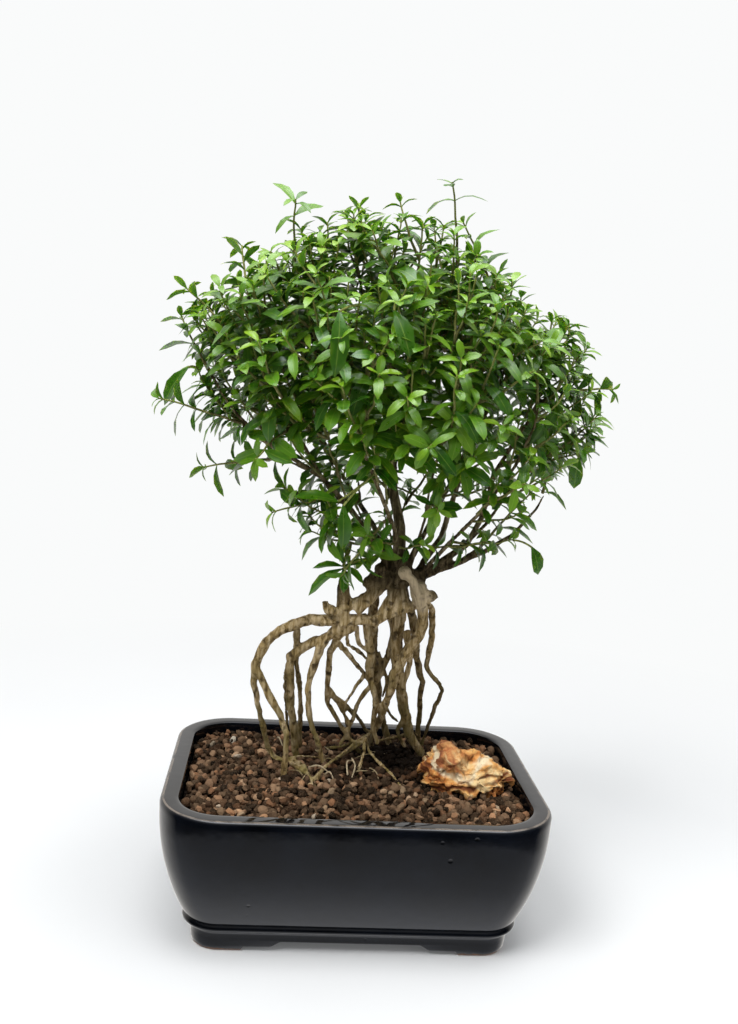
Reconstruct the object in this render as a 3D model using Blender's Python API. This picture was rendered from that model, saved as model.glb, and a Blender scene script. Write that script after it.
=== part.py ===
"""A serissa bonsai in a glazed footed pot, grown in the exposed-root style.

The pot, the clay-pellet soil, the stone on it, the drain screen and the woody plant are one object
each, and so is every leafy spray. Lengths are in millimetres until a mesh is made, +Z is up, -Y is
the front, and the origin is on the ground under the middle of the whole plant.
"""

import math
import random

import bmesh
import bpy
from mathutils import Matrix, Vector, noise
from mathutils.bvhtree import BVHTree

MM = 0.001
GAP = 0.35
WELD = 0.00001
SEED = 14

# The middle of the pot, measured from the middle of the whole plant's footprint
POT_MIDDLE = Vector((-4.2, -3.25, 0.0))

# Pot: a rounded rectangle whose sides taper down to a bead and four bracket feet
POT_WIDTH = 180.0
POT_DEPTH = 137.0
POT_HEIGHT = 68.5
RIM_CORNER = 29.5
LEAST_CORNER = 6.0
RIM_WALL = 8.6
RIM_EDGE = 2.5
RIM_EASE = 0.9
SIDE_FOOT = 15.0
SIDE_TAPER = 12.7
SIDE_BULGE = 2.2
SIDE_HEIGHTS = (48.0, 37.0, 28.0, 20.5)
INNER_HEIGHTS = (44.0, 28.0)
INNER_TAPER = 0.9
BEAD_AND_FOOT = ((14.4, 13.3), (13.0, 12.4), (11.0, 13.2), (9.4, 15.9), (3.0, 16.6), (0.0, 18.8))
FLOOR_TOP = 13.0
FLOOR_FILLET = ((19.0, 18.6), (14.6, 22.0), (FLOOR_TOP, 28.0))
CORNER_SEGMENTS = 5
FOOT_WALL = 9.0
FOOT_PAD = 21.0
FOOT_LEDGE = 13.0
FOOT_OGEE = 6.0
FOOT_SLOPE = 1.6
LEDGE_HEIGHT = 2.3
LEDGE_RISE = 0.2
APRON_HEIGHT = 5.2
UNDERSIDE = 6.0
BELOW = 2.0
DRAIN_RADIUS = 8.0
DRAIN_SIDES = 20

# Drain screen: a square of coarse plastic mesh over the drain hole
SCREEN_SIDE = 26.0
SCREEN_THICKNESS = 1.0
SCREEN_HOLES = 3
SCREEN_HOLE = 5.4
SCREEN_PITCH = 7.6

# Soil: clay pellets, flat by the rim and heaped round the roots
SOIL_EDGE = 63.6
SOIL_HEAP = 3.2
HEAP_MIDDLE = (4.0, 18.0)
HEAP_SPREAD = 36.0
PELLET_PITCH = 11.0
PELLET_HEIGHT = (0.5, 2.5)
PELLET_VALLEY = (-1.7, -0.7)
PELLET_SHIFT = 1.5
ROOT_DEPTH = 16.0
ROOT_DIP = 6.0
ROOT_GAP = 0.45

# Stone: a crinkled quartz-like rock, higher at its left end
STONE_MIDDLE = Vector((54.5, -7.0, 71.0))
STONE_HALF = Vector((25.0, 14.5, 10.5))
STONE_BED = 62.6
STONE_PEAKS = ((42.0, 5.5, 5.5), (57.0, 4.5, 2.6))
STONE_RIDGES = (2.3, 0.32, 0.30)
STONE_CRINKLE = (5.0, 0.10)
STONE_NOISE_FROM = Vector((3.1, 0.0, 7.0))

# Leaves and the stems that carry them
STEM_RADII = (1.05, 0.75)
STEM_SEGMENT = 15.0
TWIG_RADII = (1.45, 1.1)
BRANCH_STEP = 26.0
THIN_RADIUS = 1.95
LEAF_LENGTHS = (14.0, 18.5)
LEAF_WIDTH = 0.33
LEAF_KEEL = 0.85
LEAF_NECK = 0.55
NECK_KEEL = 0.62
BROADEST = 0.38
SHOULDER = (0.72, 0.36)
LEAF_SPREAD = (0.9, 1.15)
LEAF_DROOP = (0.04, 0.16)
LEAF_LIFT = (18, 42)
TIP_LIFT = (38, 58)
LEAVES_TRIED = 7
SHORTER_EACH_TRY = 0.07
TIP_NODE = 1.6
BELOW_TIP = 3.0
NODE_SPACING = 10.5
BARE_STEM = 5.0
SPRAY_REACH = 46.0
LEAF_CLEARANCE = 0.45
PAST_NECK = 0.2
STEM_CLEARANCE = 0.6

# Crown: the ends of the sprays lie on this rounded cone
CROWN_MIDDLE = Vector((5.0, 2.0, 238.0))
CROWN_HALF = (96.0, 78.0)
CROWN_UP = 92.0
CROWN_DOWN = 62.0
CROWN_SPRAYS = 25
NEAREST_TARGET = 22.0
CROWDED = 9.0
PLACES_TRIED = 5
BENDS_TRIED = 14
SPOT_STEP = 7.0
BARE_SHARE = 1 / 3
BEND_COST = 45.0
CROWD_COST = 30.0
END_GAIN = 14.0
AHEAD_SHARE = 0.35
LIFT_SHARE = 0.06
FIRST_TURN = 0.6
LOWEST_SINE = -0.52
HIGHEST_SINE = 0.97
CROWN_FILL = (0.82, 1.0)

# Roots: start and end radius, then the route, as seen from the trunk to the soil
ROOTS = {
    "arch": (2.7, 2.4, ((23, -2, 153), (15, -2, 150), (5, -1, 144), (-13, 0, 143), (-25, 0, 143),
                        (-40, 1, 136), (-47, 1, 131), (-51, 2, 118), (-51, 2, 114))),
    "arch_outer": (2.0, 1.2, ((-51, 2, 118), (-52, 5, 108), (-46, 11, 87), (-43, 15, 72), (-39, 17, 66),
                              (-30, 6, 67), (-22, -5, 66), (-19, -12, 62))),
    "arch_inner": (2.2, 1.9, ((-51, 2, 116), (-44, 1, 104), (-37, 0, 94), (-34, -1, 85), (-34, -2, 65))),
    "second_arch": (2.2, 2.1, ((-3, 1, 140), (-13, 2, 136), (-22, 3, 132), (-29, 5, 127), (-35, 6, 121))),
    "knee": (2.3, 2.3, ((-29, 5, 127), (-35, 6, 122), (-33, 11, 102), (-30, 16, 80), (-28, 20, 65))),
    "knee_back": (1.4, 1.1, ((-35, 7, 122), (-36, 22, 98), (-34, 30, 84), (-32, 36, 66))),
    "arch_drop": (1.9, 1.7, ((-33, 2, 140), (-31, 11, 122), (-28, 23, 96), (-26, 34, 65))),
    "slanting": (2.1, 1.7, ((-11, 0, 142), (-20, 2, 129), (-24, 5, 114), (-25, 6, 106), (-21, 9, 86),
                            (-14, 12, 65))),
    "wavy": (1.9, 1.6, ((-9, 0, 141), (-15, 6, 125), (-14, 16, 98), (-6, 21, 82), (4, 26, 68),
                        (9, 28, 64))),
    "crossing": (1.5, 1.3, ((-11, 4, 131), (3, 18, 112), (11, 26, 99), (18, 38, 82))),
    "crossing_back": (1.1, 1.0, ((-8, 1, 139), (-6, 8, 129), (5, 16, 120), (9, 25, 113))),
    "loop": (1.4, 1.3, ((4, 19, 112), (-1, 17, 104), (-5, 19, 95), (1, 27, 86))),
    "loop_side": (1.6, 1.4, ((-14, 15, 104), (1, 27, 88), (11, 36, 72), (13, 38, 65))),
    "dark_upright": (2.5, 2.2, ((5, 4, 158), (6, 14, 137), (9, 26, 113), (14, 36, 92), (22, 43, 66))),
    "thick_upright": (3.2, 2.7, ((17, 3, 158), (19, 12, 125), (20, 15, 115), (27, 22, 90), (30, 26, 78),
                                 (38, 30, 66))),
    "front_cross": (2.7, 1.6, ((21, -8, 168), (23, -6, 160), (29, 3, 147), (28, 9, 135), (18, 22, 110),
                               (18, 31, 91), (14, 36, 78), (10, 40, 66))),
    "right_zigzag": (1.9, 1.4, ((25, -3, 163), (34, 7, 148), (36, 13, 134), (36, 23, 115), (47, 31, 100),
                                (44, 36, 90), (40, 43, 67))),
    "right_back": (2.0, 1.8, ((20, 6, 156), (29, 17, 133), (30, 22, 122), (35, 30, 106), (36, 38, 89),
                              (38, 47, 66))),
    "low_link": (1.6, 1.2, ((30, 29, 76), (22, 34, 72), (15, 37, 69))),
    "fork_front": (1.5, 1.3, ((12, 36, 76), (7, 22, 75), (6, 13, 71), (3, 3, 66), (2, 0, 63))),
    "fork_left": (1.3, 1.0, ((9, 30, 75), (2, 23, 74), (-4, 14, 71), (-11, 5, 69), (-16, -4, 67),
                             (-19, -12, 63))),
    "fork_right": (1.4, 1.1, ((7, 24, 74), (9, 19, 70), (14, 9, 68), (19, -3, 67), (24, -14, 64))),
    "stub": (3.0, 2.9, ((-11, -1, 158), (-11, -1, 150), (-10, -1, 141))),
    "stub_bridge": (2.6, 2.4, ((9, -2, 162), (0, -2, 156), (-12, -1, 148))),
    "base_across": (5.2, 5.0, ((2, -1, 163), (10, -1, 166), (20, -1, 167), (29, -1, 165))),
    "base_upright": (6.2, 5.4, ((17, 2, 152), (16, 1, 160), (15, 1, 168), (16, 1, 176))),
}
SURFACE_ROOTS = ("arch_outer", "fork_left", "fork_right", "fork_front")
UNDERGROUND = ("arch_inner", "knee", "knee_back", "arch_drop", "slanting", "wavy", "loop_side",
               "dark_upright", "thick_upright", "front_cross", "right_zigzag", "right_back")

# Branches: start and end radius, then the route from the trunk base outwards
BRANCHES = {
    "leader": (3.6, 1.5, ((16, 2, 168), (15, 3, 190), (9, 4, 212), (7, 4, 237), (10, 3, 253),
                          (3, 4, 276), (-2, 5, 296))),
    "left_low": (2.5, 1.4, ((15, 0, 166), (9, -1, 173), (0, -3, 186), (-11, -5, 199), (-25, -8, 213),
                            (-39, -9, 221), (-52, -10, 228), (-66, -11, 240))),
    "left_high": (1.6, 1.3, ((-25, -8, 213), (-33, -12, 226), (-44, -17, 242), (-54, -20, 262))),
    "front_left": (2.0, 1.3, ((14, -2, 170), (11, -11, 190), (3, -23, 206), (-7, -35, 226),
                              (-12, -42, 246))),
    "front": (1.7, 1.2, ((20, -1, 168), (25, -9, 196), (25, -18, 213), (27, -30, 232), (31, -38, 252))),
    "front_right": (1.9, 1.3, ((25, -1, 167), (37, -13, 186), (49, -26, 204), (60, -36, 226),
                               (66, -40, 244))),
    "right_upright": (2.2, 1.3, ((23, 1, 166), (36, 6, 186), (41, 9, 206), (48, 10, 230),
                                 (55, 12, 252), (60, 13, 270))),
    "right_middle": (2.3, 1.3, ((25, 0, 166), (47, -3, 184), (53, -5, 198), (57, -7, 220),
                                (67, -10, 240), (76, -14, 256))),
    "right_back": (1.7, 1.3, ((45, -2, 182), (57, 3, 194), (67, 9, 208), (79, 15, 224), (87, 20, 242))),
    "right_low": (2.2, 1.3, ((25, -1, 165), (42, -3, 174), (56, -6, 182), (68, -8, 191), (78, -9, 204))),
    "back_left": (2.2, 1.3, ((15, 1, 166), (3, 18, 188), (-13, 34, 210), (-28, 44, 234),
                             (-38, 48, 254))),
    "back_right": (2.1, 1.3, ((18, 1, 168), (33, 22, 192), (46, 37, 216), (56, 45, 240), (61, 47, 258))),
    "back": (1.8, 1.3, ((12, 4, 200), (12, 20, 222), (12, 36, 246), (10, 44, 266))),
    "upper_left": (1.7, 1.3, ((8, 4, 226), (-8, 8, 246), (-24, 12, 264), (-36, 14, 282))),
    "upper_right": (1.7, 1.3, ((9, 4, 246), (20, 6, 262), (29, 7, 280), (33, 8, 298))),
}

# Shoots that stand out of the crown: where each one ends
SHOOTS = {
    "top_right": (27, -4, 347),
    "top_right_low": (37, 8, 331),
    "top_left": (-44, -6, 334),
    "left_upper": (-68, 8, 314),
    "left_outer": (-74, -12, 300),
    "left_far": (-92, 4, 279),
    "left_drooping": (-93, -14, 252),
    "right_far": (98, 8, 277),
    "right_outer": (103, -8, 262),
    "right_low_tip": (82, -10, 196),
    "left_inner_low": (-40, -14, 198),
    "front_low": (25, -30, 212),
    "trunk_cluster": (-9, -16, 174),
    "back_low": (8, 52, 205),
}

# Shoots that fill the crown's emptiest places once all the others stand
FILLERS = {
    "top_middle": (-15, -4, 326),
    "front_middle": (-4, -32, 290),
    "right_front": (63, -40, 277),
}


def make_material(name, color, roughness, metallic=0.0):
    material = bpy.data.materials.new(name)
    material.use_nodes = True
    shader = material.node_tree.nodes["Principled BSDF"]
    shader.inputs["Base Color"].default_value = (*color, 1.0)
    shader.inputs["Roughness"].default_value = roughness
    shader.inputs["Metallic"].default_value = metallic
    return material


def make_object(name, mesh, collection):
    obj = bpy.data.objects.new(name, mesh)
    collection.objects.link(obj)
    return obj


def object_from_bmesh(name, bm, collection):
    """Closes the bmesh into an object, with its faces pointing out."""
    bmesh.ops.recalc_face_normals(bm, faces=bm.faces)
    mesh = bpy.data.meshes.new(name)
    bm.to_mesh(mesh)
    bm.free()
    return make_object(name, mesh, collection)


def in_metres(point):
    return (Vector(point) + POT_MIDDLE) * MM


def finish(obj, material, sharp_angle=35.0):
    """Gives an object its material and smooth shading between its edges."""
    obj.data.materials.clear()
    obj.data.materials.append(material)
    obj.data.shade_smooth()
    obj.data.set_sharp_from_angle(angle=math.radians(sharp_angle))
    return obj


def evaluated_mesh(obj):
    graph = bpy.context.evaluated_depsgraph_get()
    return bpy.data.meshes.new_from_object(obj.evaluated_get(graph))


def apply_boolean(obj, operation, solver, cutter=None, operands=None):
    """Joins or cuts an object with another one, or with all those of a collection."""
    modifier = obj.modifiers.new(operation.title(), "BOOLEAN")
    modifier.operation = operation
    modifier.solver = solver
    if operands:
        modifier.operand_type = "COLLECTION"
        modifier.collection = operands
    else:
        modifier.object = cutter
    mesh = evaluated_mesh(obj)
    obj.modifiers.remove(modifier)
    old = obj.data
    obj.data = mesh
    bpy.data.meshes.remove(old)
    return obj


def united(name, pieces, collection):
    """Fuses overlapping pieces into one body and removes the pieces."""
    first, others = pieces[0], pieces[1:]
    group = bpy.data.collections.new(name + "_pieces")
    bpy.context.scene.collection.children.link(group)
    for piece in others:
        for old in piece.users_collection:
            old.objects.unlink(piece)
        group.objects.link(piece)
    if others:
        apply_boolean(first, "UNION", "MANIFOLD", operands=group)
    for piece in others:
        bpy.data.objects.remove(piece)
    bpy.data.collections.remove(group)
    for old in first.users_collection:
        old.objects.unlink(first)
    collection.objects.link(first)
    first.name = name
    return first


def tube(name, points, radii, sides, collection):
    """A tapering tube with flat ends along a route."""
    curve = bpy.data.curves.new(name, "CURVE")
    curve.dimensions = "3D"
    curve.bevel_depth = MM
    curve.bevel_resolution = sides // 2 - 2
    curve.use_fill_caps = True
    curve.resolution_u = 1
    spline = curve.splines.new("POLY")
    spline.points.add(len(points) - 1)
    steps = len(points) - 1
    for index, (knot, point) in enumerate(zip(spline.points, points)):
        knot.co = (*in_metres(point), 1.0)
        knot.radius = radii[0] + (radii[1] - radii[0]) * index / steps
    guide = make_object(name, curve, collection)
    bpy.context.view_layer.update()
    mesh = evaluated_mesh(guide)
    bpy.data.objects.remove(guide)
    bpy.data.curves.remove(curve)
    bm = bmesh.new()
    bm.from_mesh(mesh)
    bpy.data.meshes.remove(mesh)
    bmesh.ops.remove_doubles(bm, verts=bm.verts, dist=WELD)
    return object_from_bmesh(name, bm, collection)


def rounded_rectangle(inset, height, segments=CORNER_SEGMENTS):
    """The pot's plan outline, moved in from the rim's outer edge."""
    half_x = POT_WIDTH / 2 - inset
    half_y = POT_DEPTH / 2 - inset
    radius = max(RIM_CORNER - inset, LEAST_CORNER)
    ring = []
    for corner, (sx, sy) in enumerate(((1, 1), (-1, 1), (-1, -1), (1, -1))):
        for step in range(segments + 1):
            angle = math.pi / 2 * (corner + step / segments)
            ring.append((
                sx * (half_x - radius) + radius * math.cos(angle),
                sy * (half_y - radius) + radius * math.sin(angle),
                height,
            ))
    return ring


def loft(name, rings, collection):
    """A closed solid through rings of equal length, with a flat cap on the first and the last."""
    bm = bmesh.new()
    loops = [[bm.verts.new(in_metres(point)) for point in ring] for ring in rings]
    count = len(loops[0])
    for lower, upper in zip(loops, loops[1:]):
        for i in range(count):
            j = (i + 1) % count
            bm.faces.new((lower[i], lower[j], upper[j], upper[i]))
    bm.faces.new(reversed(loops[0]))
    bm.faces.new(loops[-1])
    return object_from_bmesh(name, bm, collection)


def side_inset(height):
    """How far the pot's tapering side lies in from the rim at a height."""
    top = POT_HEIGHT - RIM_EDGE
    share = max(0.0, (top - height) / (top - SIDE_FOOT))
    return SIDE_TAPER * share ** SIDE_BULGE


def pot_outside():
    rim = [(POT_HEIGHT, RIM_EASE), (POT_HEIGHT - RIM_EDGE, 0.0)]
    side = [(z, side_inset(z)) for z in (*SIDE_HEIGHTS, SIDE_FOOT)]
    return rim + side + list(BEAD_AND_FOOT)


def pot_inside(offset=0.0, top=POT_HEIGHT):
    """The hollow's side from the rim to the floor, moved in by an offset."""
    heights = (POT_HEIGHT - RIM_EDGE, *INNER_HEIGHTS)
    wall = [(z, RIM_WALL + INNER_TAPER * side_inset(z)) for z in heights]
    if top == POT_HEIGHT:
        wall = [(POT_HEIGHT, RIM_WALL - RIM_EASE)] + wall
    profile = wall + list(FLOOR_FILLET)
    return [(max(z, FLOOR_TOP + offset), inset + offset) for z, inset in profile]


def prism(name, outline, axis, reach, collection):
    """Pushes a closed outline, given across and up, to both sides along the X or Y axis."""
    bm = bmesh.new()
    if axis == "X":
        ring = [Vector((-reach, across, up)) for across, up in outline]
    else:
        ring = [Vector((across, -reach, up)) for across, up in outline]
    shift = Vector((2 * reach, 0, 0)) if axis == "X" else Vector((0, 2 * reach, 0))
    face = bm.faces.new([bm.verts.new(in_metres(point)) for point in ring])
    moved = bmesh.ops.extrude_face_region(bm, geom=[face])
    ends = [item for item in moved["geom"] if isinstance(item, bmesh.types.BMVert)]
    bmesh.ops.translate(bm, verts=ends, vec=shift * MM)
    return object_from_bmesh(name, bm, collection)


def bracket_outline(half_sole):
    """The stepped opening between two feet: pad, low ledge, then an ogee up to the apron."""
    pad = half_sole - FOOT_PAD
    ledge = pad - FOOT_LEDGE * half_sole / (POT_WIDTH / 2 - BEAD_AND_FOOT[-1][1])
    ogee_middle = (LEDGE_HEIGHT + APRON_HEIGHT) / 2
    half = [(pad, -BELOW), (pad, 0.0), (pad - FOOT_SLOPE, LEDGE_HEIGHT)]
    half += [(ledge, LEDGE_HEIGHT + LEDGE_RISE), (ledge - FOOT_OGEE / 2, ogee_middle)]
    half += [(ledge - FOOT_OGEE, APRON_HEIGHT)]
    return half + [(-across, up) for across, up in reversed(half)]


def build_pot(parts, cutters):
    rings = [rounded_rectangle(inset, z) for z, inset in reversed(pot_outside())]
    rings += [rounded_rectangle(inset, z) for z, inset in pot_inside()]
    pot = loft("pot", rings, parts)
    sole = BEAD_AND_FOOT[-1][1]
    recess = loft("under_recess", [
        rounded_rectangle(sole + FOOT_WALL, -BELOW),
        rounded_rectangle(sole + FOOT_WALL, UNDERSIDE),
    ], cutters)
    front = prism("front_bracket", bracket_outline(POT_WIDTH / 2 - sole), "Y", POT_DEPTH, cutters)
    side = prism("side_bracket", bracket_outline(POT_DEPTH / 2 - sole), "X", POT_WIDTH, cutters)
    bm = bmesh.new()
    bmesh.ops.create_cone(
        bm, cap_ends=True, segments=DRAIN_SIDES, radius1=DRAIN_RADIUS * MM,
        radius2=DRAIN_RADIUS * MM, depth=2 * FLOOR_TOP * MM,
        matrix=Matrix.Translation(in_metres((0, 0, FLOOR_TOP / 2))),
    )
    drain = object_from_bmesh("drain_cutter", bm, cutters)
    for cutter in (recess, front, side, drain):
        apply_boolean(pot, "DIFFERENCE", "EXACT", cutter=cutter)
    return pot


def build_screen(parts, cutters):
    """A square of mesh lying on the pot's floor over the drain hole."""
    half = SCREEN_SIDE / 2
    low = FLOOR_TOP + GAP
    high = low + SCREEN_THICKNESS
    bm = bmesh.new()
    size = (SCREEN_SIDE * MM, SCREEN_SIDE * MM, SCREEN_THICKNESS * MM)
    place = Matrix.Translation(in_metres((0, 0, (low + high) / 2)))
    bmesh.ops.create_cube(bm, size=1.0, matrix=place @ Matrix.Diagonal((*size, 1.0)))
    screen = object_from_bmesh("drain_screen", bm, parts)
    first = -SCREEN_PITCH * (SCREEN_HOLES - 1) / 2
    bm = bmesh.new()
    for i in range(SCREEN_HOLES):
        for j in range(SCREEN_HOLES):
            spot = (first + i * SCREEN_PITCH, first + j * SCREEN_PITCH, (low + high) / 2)
            scale = Matrix.Diagonal((SCREEN_HOLE * MM, SCREEN_HOLE * MM, half * MM, 1.0))
            bmesh.ops.create_cube(bm, size=1.0, matrix=Matrix.Translation(in_metres(spot)) @ scale)
    holes = object_from_bmesh("screen_holes", bm, cutters)
    apply_boolean(screen, "DIFFERENCE", "EXACT", cutter=holes)
    return screen


def soil_height(x, y):
    reach = ((x - HEAP_MIDDLE[0]) ** 2 + (y - HEAP_MIDDLE[1]) ** 2) / (2 * HEAP_SPREAD ** 2)
    return SOIL_EDGE + SOIL_HEAP * math.exp(-reach)


def pellet_slab(collection):
    """A slab whose top is a field of pellets: a peak in each cell of a honeycomb, with low corners."""
    rng = random.Random(SEED)
    row_step = PELLET_PITCH * math.sqrt(3) / 2
    columns = int(POT_WIDTH / 2 / PELLET_PITCH) + 1
    rows = int(POT_DEPTH / 2 / row_step) + 1
    peaks = {}
    for j in range(-rows, rows + 1):
        for i in range(-columns, columns + 1):
            peaks[i, j] = Vector((
                (i + (j % 2) / 2) * PELLET_PITCH + rng.uniform(-PELLET_SHIFT, PELLET_SHIFT),
                j * row_step + rng.uniform(-PELLET_SHIFT, PELLET_SHIFT),
                rng.uniform(*PELLET_HEIGHT),
            ))
    bm = bmesh.new()
    corners = {}

    def corner(cells):
        key = tuple(sorted(cells))
        if key not in corners:
            spot = sum((peaks[cell] for cell in key), Vector()) / 3
            z = soil_height(spot.x, spot.y) + rng.uniform(*PELLET_VALLEY)
            corners[key] = bm.verts.new(in_metres((spot.x, spot.y, z)))
        return corners[key]

    for (i, j), peak in peaks.items():
        shift = j % 2
        around = [(i + 1, j), (i + shift, j + 1), (i + shift - 1, j + 1), (i - 1, j),
                  (i + shift - 1, j - 1), (i + shift, j - 1)]
        if any(cell not in peaks for cell in around):
            continue
        top = bm.verts.new(in_metres((peak.x, peak.y, soil_height(peak.x, peak.y) + peak.z)))
        ring = [corner(((i, j), around[k], around[(k + 1) % 6])) for k in range(6)]
        for k in range(6):
            bm.faces.new((top, ring[k], ring[(k + 1) % 6]))
    rim = [edge for edge in bm.edges if edge.is_boundary]
    skirt = bmesh.ops.extrude_edge_only(bm, edges=rim)
    lowered = [item for item in skirt["geom"] if isinstance(item, bmesh.types.BMVert)]
    for vertex in lowered:
        vertex.co.z = FLOOR_TOP / 2 * MM
    edges = [item for item in skirt["geom"] if isinstance(item, bmesh.types.BMEdge) and item.is_boundary]
    bmesh.ops.contextual_create(bm, geom=edges)
    return object_from_bmesh("soil", bm, collection)


def build_soil(parts, cutters, root_holes, stone_seat):
    soil = pellet_slab(parts)
    profile = pot_inside(GAP, top=POT_HEIGHT - RIM_EDGE)
    rings = [rounded_rectangle(profile[0][1], POT_HEIGHT + PELLET_PITCH)]
    rings += [rounded_rectangle(inset, z) for z, inset in profile]
    hollow = loft("pot_hollow", rings, cutters)
    apply_boolean(soil, "INTERSECT", "EXACT", cutter=hollow)
    bm = bmesh.new()
    side = (SCREEN_SIDE + 2 * GAP) * MM
    size = Matrix.Diagonal((side, side, 4 * (SCREEN_THICKNESS + GAP) * MM, 1.0))
    bmesh.ops.create_cube(bm, size=1.0, matrix=Matrix.Translation(in_metres((0, 0, FLOOR_TOP))) @ size)
    screen_bed = object_from_bmesh("screen_bed", bm, cutters)
    for cutter in (screen_bed, stone_seat, root_holes):
        apply_boolean(soil, "DIFFERENCE", "EXACT", cutter=cutter)
    return soil


def build_stone(name, grow, collection):
    """A lump with two peaks and crinkled sides, flat where it is bedded in the soil."""
    bm = bmesh.new()
    bmesh.ops.create_icosphere(bm, subdivisions=3, radius=1.0)
    for vertex in bm.verts:
        way = vertex.co.normalized()
        ridge = abs(noise.noise(way * STONE_RIDGES[0] + STONE_NOISE_FROM))
        crinkle = noise.noise(way * STONE_CRINKLE[0])
        size = 1.0 + STONE_RIDGES[1] * (STONE_RIDGES[2] - ridge) + STONE_CRINKLE[1] * crinkle
        point = STONE_MIDDLE + Vector(c * h * size for c, h in zip(way, STONE_HALF)) + grow * way
        for across, spread, rise in STONE_PEAKS:
            if way.z > 0:
                point.z += rise * way.z * math.exp(-((point.x - across) / spread) ** 2)
        point.z = max(point.z, STONE_BED - grow)
        vertex.co = in_metres(point)
    return object_from_bmesh(name, bm, collection)


def smooth_route(points, step):
    """Points at even steps on a smooth curve through a route's own points."""
    knots = [Vector(point) for point in points]
    knots = [2 * knots[0] - knots[1]] + knots + [2 * knots[-1] - knots[-2]]
    fine = []
    for a, b, c, d in zip(knots, knots[1:], knots[2:], knots[3:]):
        pieces = max(1, round((c - b).length / step))
        for k in range(pieces):
            t = k / pieces
            fine.append(0.5 * (2 * b + (c - a) * t + (2 * a - 5 * b + 4 * c - d) * t * t
                               + (3 * b - a - 3 * c + d) * t ** 3))
    return fine + [knots[-2]]


def root_tubes(prefix, grow, collection):
    """Every root as a tube, grown by a clearance where it is used to cut its hole."""
    tubes = []
    for name, (start, end, route) in ROOTS.items():
        points = [Vector(point) for point in route]
        if name in UNDERGROUND:
            points.append(points[-1] - Vector((0, 0, ROOT_DEPTH + grow)))
        elif name in SURFACE_ROOTS:
            points.append(points[-1] + (points[-1] - points[-2]).normalized() * (ROOT_DIP + grow))
        radii = (start + grow, end + grow)
        sides = 6 if start > THIN_RADIUS else 4
        tubes.append(tube(prefix + name, points, radii, sides, collection))
    return tubes


def crown_targets():
    """The outer ends of the sprays: even over the crown by the golden angle, then the long shoots."""
    rng = random.Random(SEED)
    targets = []
    for k in range(CROWN_SPRAYS):
        sine = LOWEST_SINE + (HIGHEST_SINE - LOWEST_SINE) * (k + 0.5) / CROWN_SPRAYS
        turn = k * math.pi * (3 - math.sqrt(5)) + FIRST_TURN
        flat = math.sqrt(1 - sine * sine)
        height = CROWN_UP if sine > 0 else CROWN_DOWN
        size = rng.uniform(*CROWN_FILL)
        reach = Vector((CROWN_HALF[0] * flat * math.cos(turn), CROWN_HALF[1] * flat * math.sin(turn),
                        height * sine))
        targets.append(CROWN_MIDDLE + reach * size)
    return targets + [Vector(point) for point in SHOOTS.values()]


def branch_spots():
    """Places along the branches where a twig can start, each with its direction."""
    spots = []
    for _, _, route in BRANCHES.values():
        fine = smooth_route(route, SPOT_STEP)
        first = int(len(fine) * BARE_SHARE)
        for k in range(first, len(fine)):
            way = (fine[k] - fine[k - 1]).normalized()
            spots.append((fine[k], way, k == len(fine) - 1))
    return spots


def ranked_spots(target, spots, used):
    """Branch places in the order in which they suit a target: near, straight ahead and not crowded."""
    ranked = []
    for place, way, is_end in spots:
        run = target - place
        if run.length < NEAREST_TARGET:
            continue
        bend = 1.0 - way.dot(run) / run.length
        crowd = sum(1 for other in used if (other - place).length < CROWDED)
        cost = run.length + BEND_COST * bend + CROWD_COST * crowd - END_GAIN * is_end
        ranked.append((cost, len(ranked), place, way))
    ranked.sort(key=lambda row: row[:2])
    return [(place, way) for _, _, place, way in ranked]


def twig_curve(place, way, target):
    """A twig's route: it leaves along its branch and bends up towards its target."""
    length = (target - place).length
    control = place + way * length * AHEAD_SHARE + Vector((0, 0, length * LIFT_SHARE))
    count = max(3, round(length / STEM_SEGMENT))
    points = []
    for k in range(count + 1):
        t = k / count
        points.append((1 - t) ** 2 * place + 2 * t * (1 - t) * control + t * t * target)
    return points


def split_twig(points):
    """The woody stretch of a twig, and the leafy stretch that goes on from it."""
    lengths = [(b - a).length for a, b in zip(points, points[1:])]
    leafy = 0.0
    cut = len(points) - 1
    while cut > 1 and leafy + lengths[cut - 1] <= SPRAY_REACH:
        leafy += lengths[cut - 1]
        cut -= 1
    woody = [points[0], points[cut]] if cut < 3 else [points[0], points[cut // 2], points[cut]]
    behind = (woody[-1] - woody[-2]).normalized()
    ahead = (points[cut + 1] - points[cut]).normalized()
    lean = behind.cross(ahead).length
    return woody, [points[cut] + ahead * (GAP + STEM_RADII[0] * lean)] + points[cut + 1:]


class Neighbours:
    """What has been placed so far, to keep new stems and leaves clear of it."""

    def __init__(self):
        self.items = []

    def add(self, vertices, faces, owner):
        low = Vector(min(v[i] for v in vertices) for i in range(3))
        high = Vector(max(v[i] for v in vertices) for i in range(3))
        tree = BVHTree.FromPolygons([tuple(v) for v in vertices], faces)
        self.items.append((low, high, tree, owner))

    def touches(self, vertices, faces, skip=None, stems_only=False):
        low = Vector(min(v[i] for v in vertices) for i in range(3))
        high = Vector(max(v[i] for v in vertices) for i in range(3))
        tree = BVHTree.FromPolygons([tuple(v) for v in vertices], faces)
        for other_low, other_high, other, owner in self.items:
            if (owner is None and stems_only) or (owner is not None and owner == skip):
                continue
            if any(low[i] > other_high[i] or high[i] < other_low[i] for i in range(3)):
                continue
            if tree.overlap(other):
                return True
        return False


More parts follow.
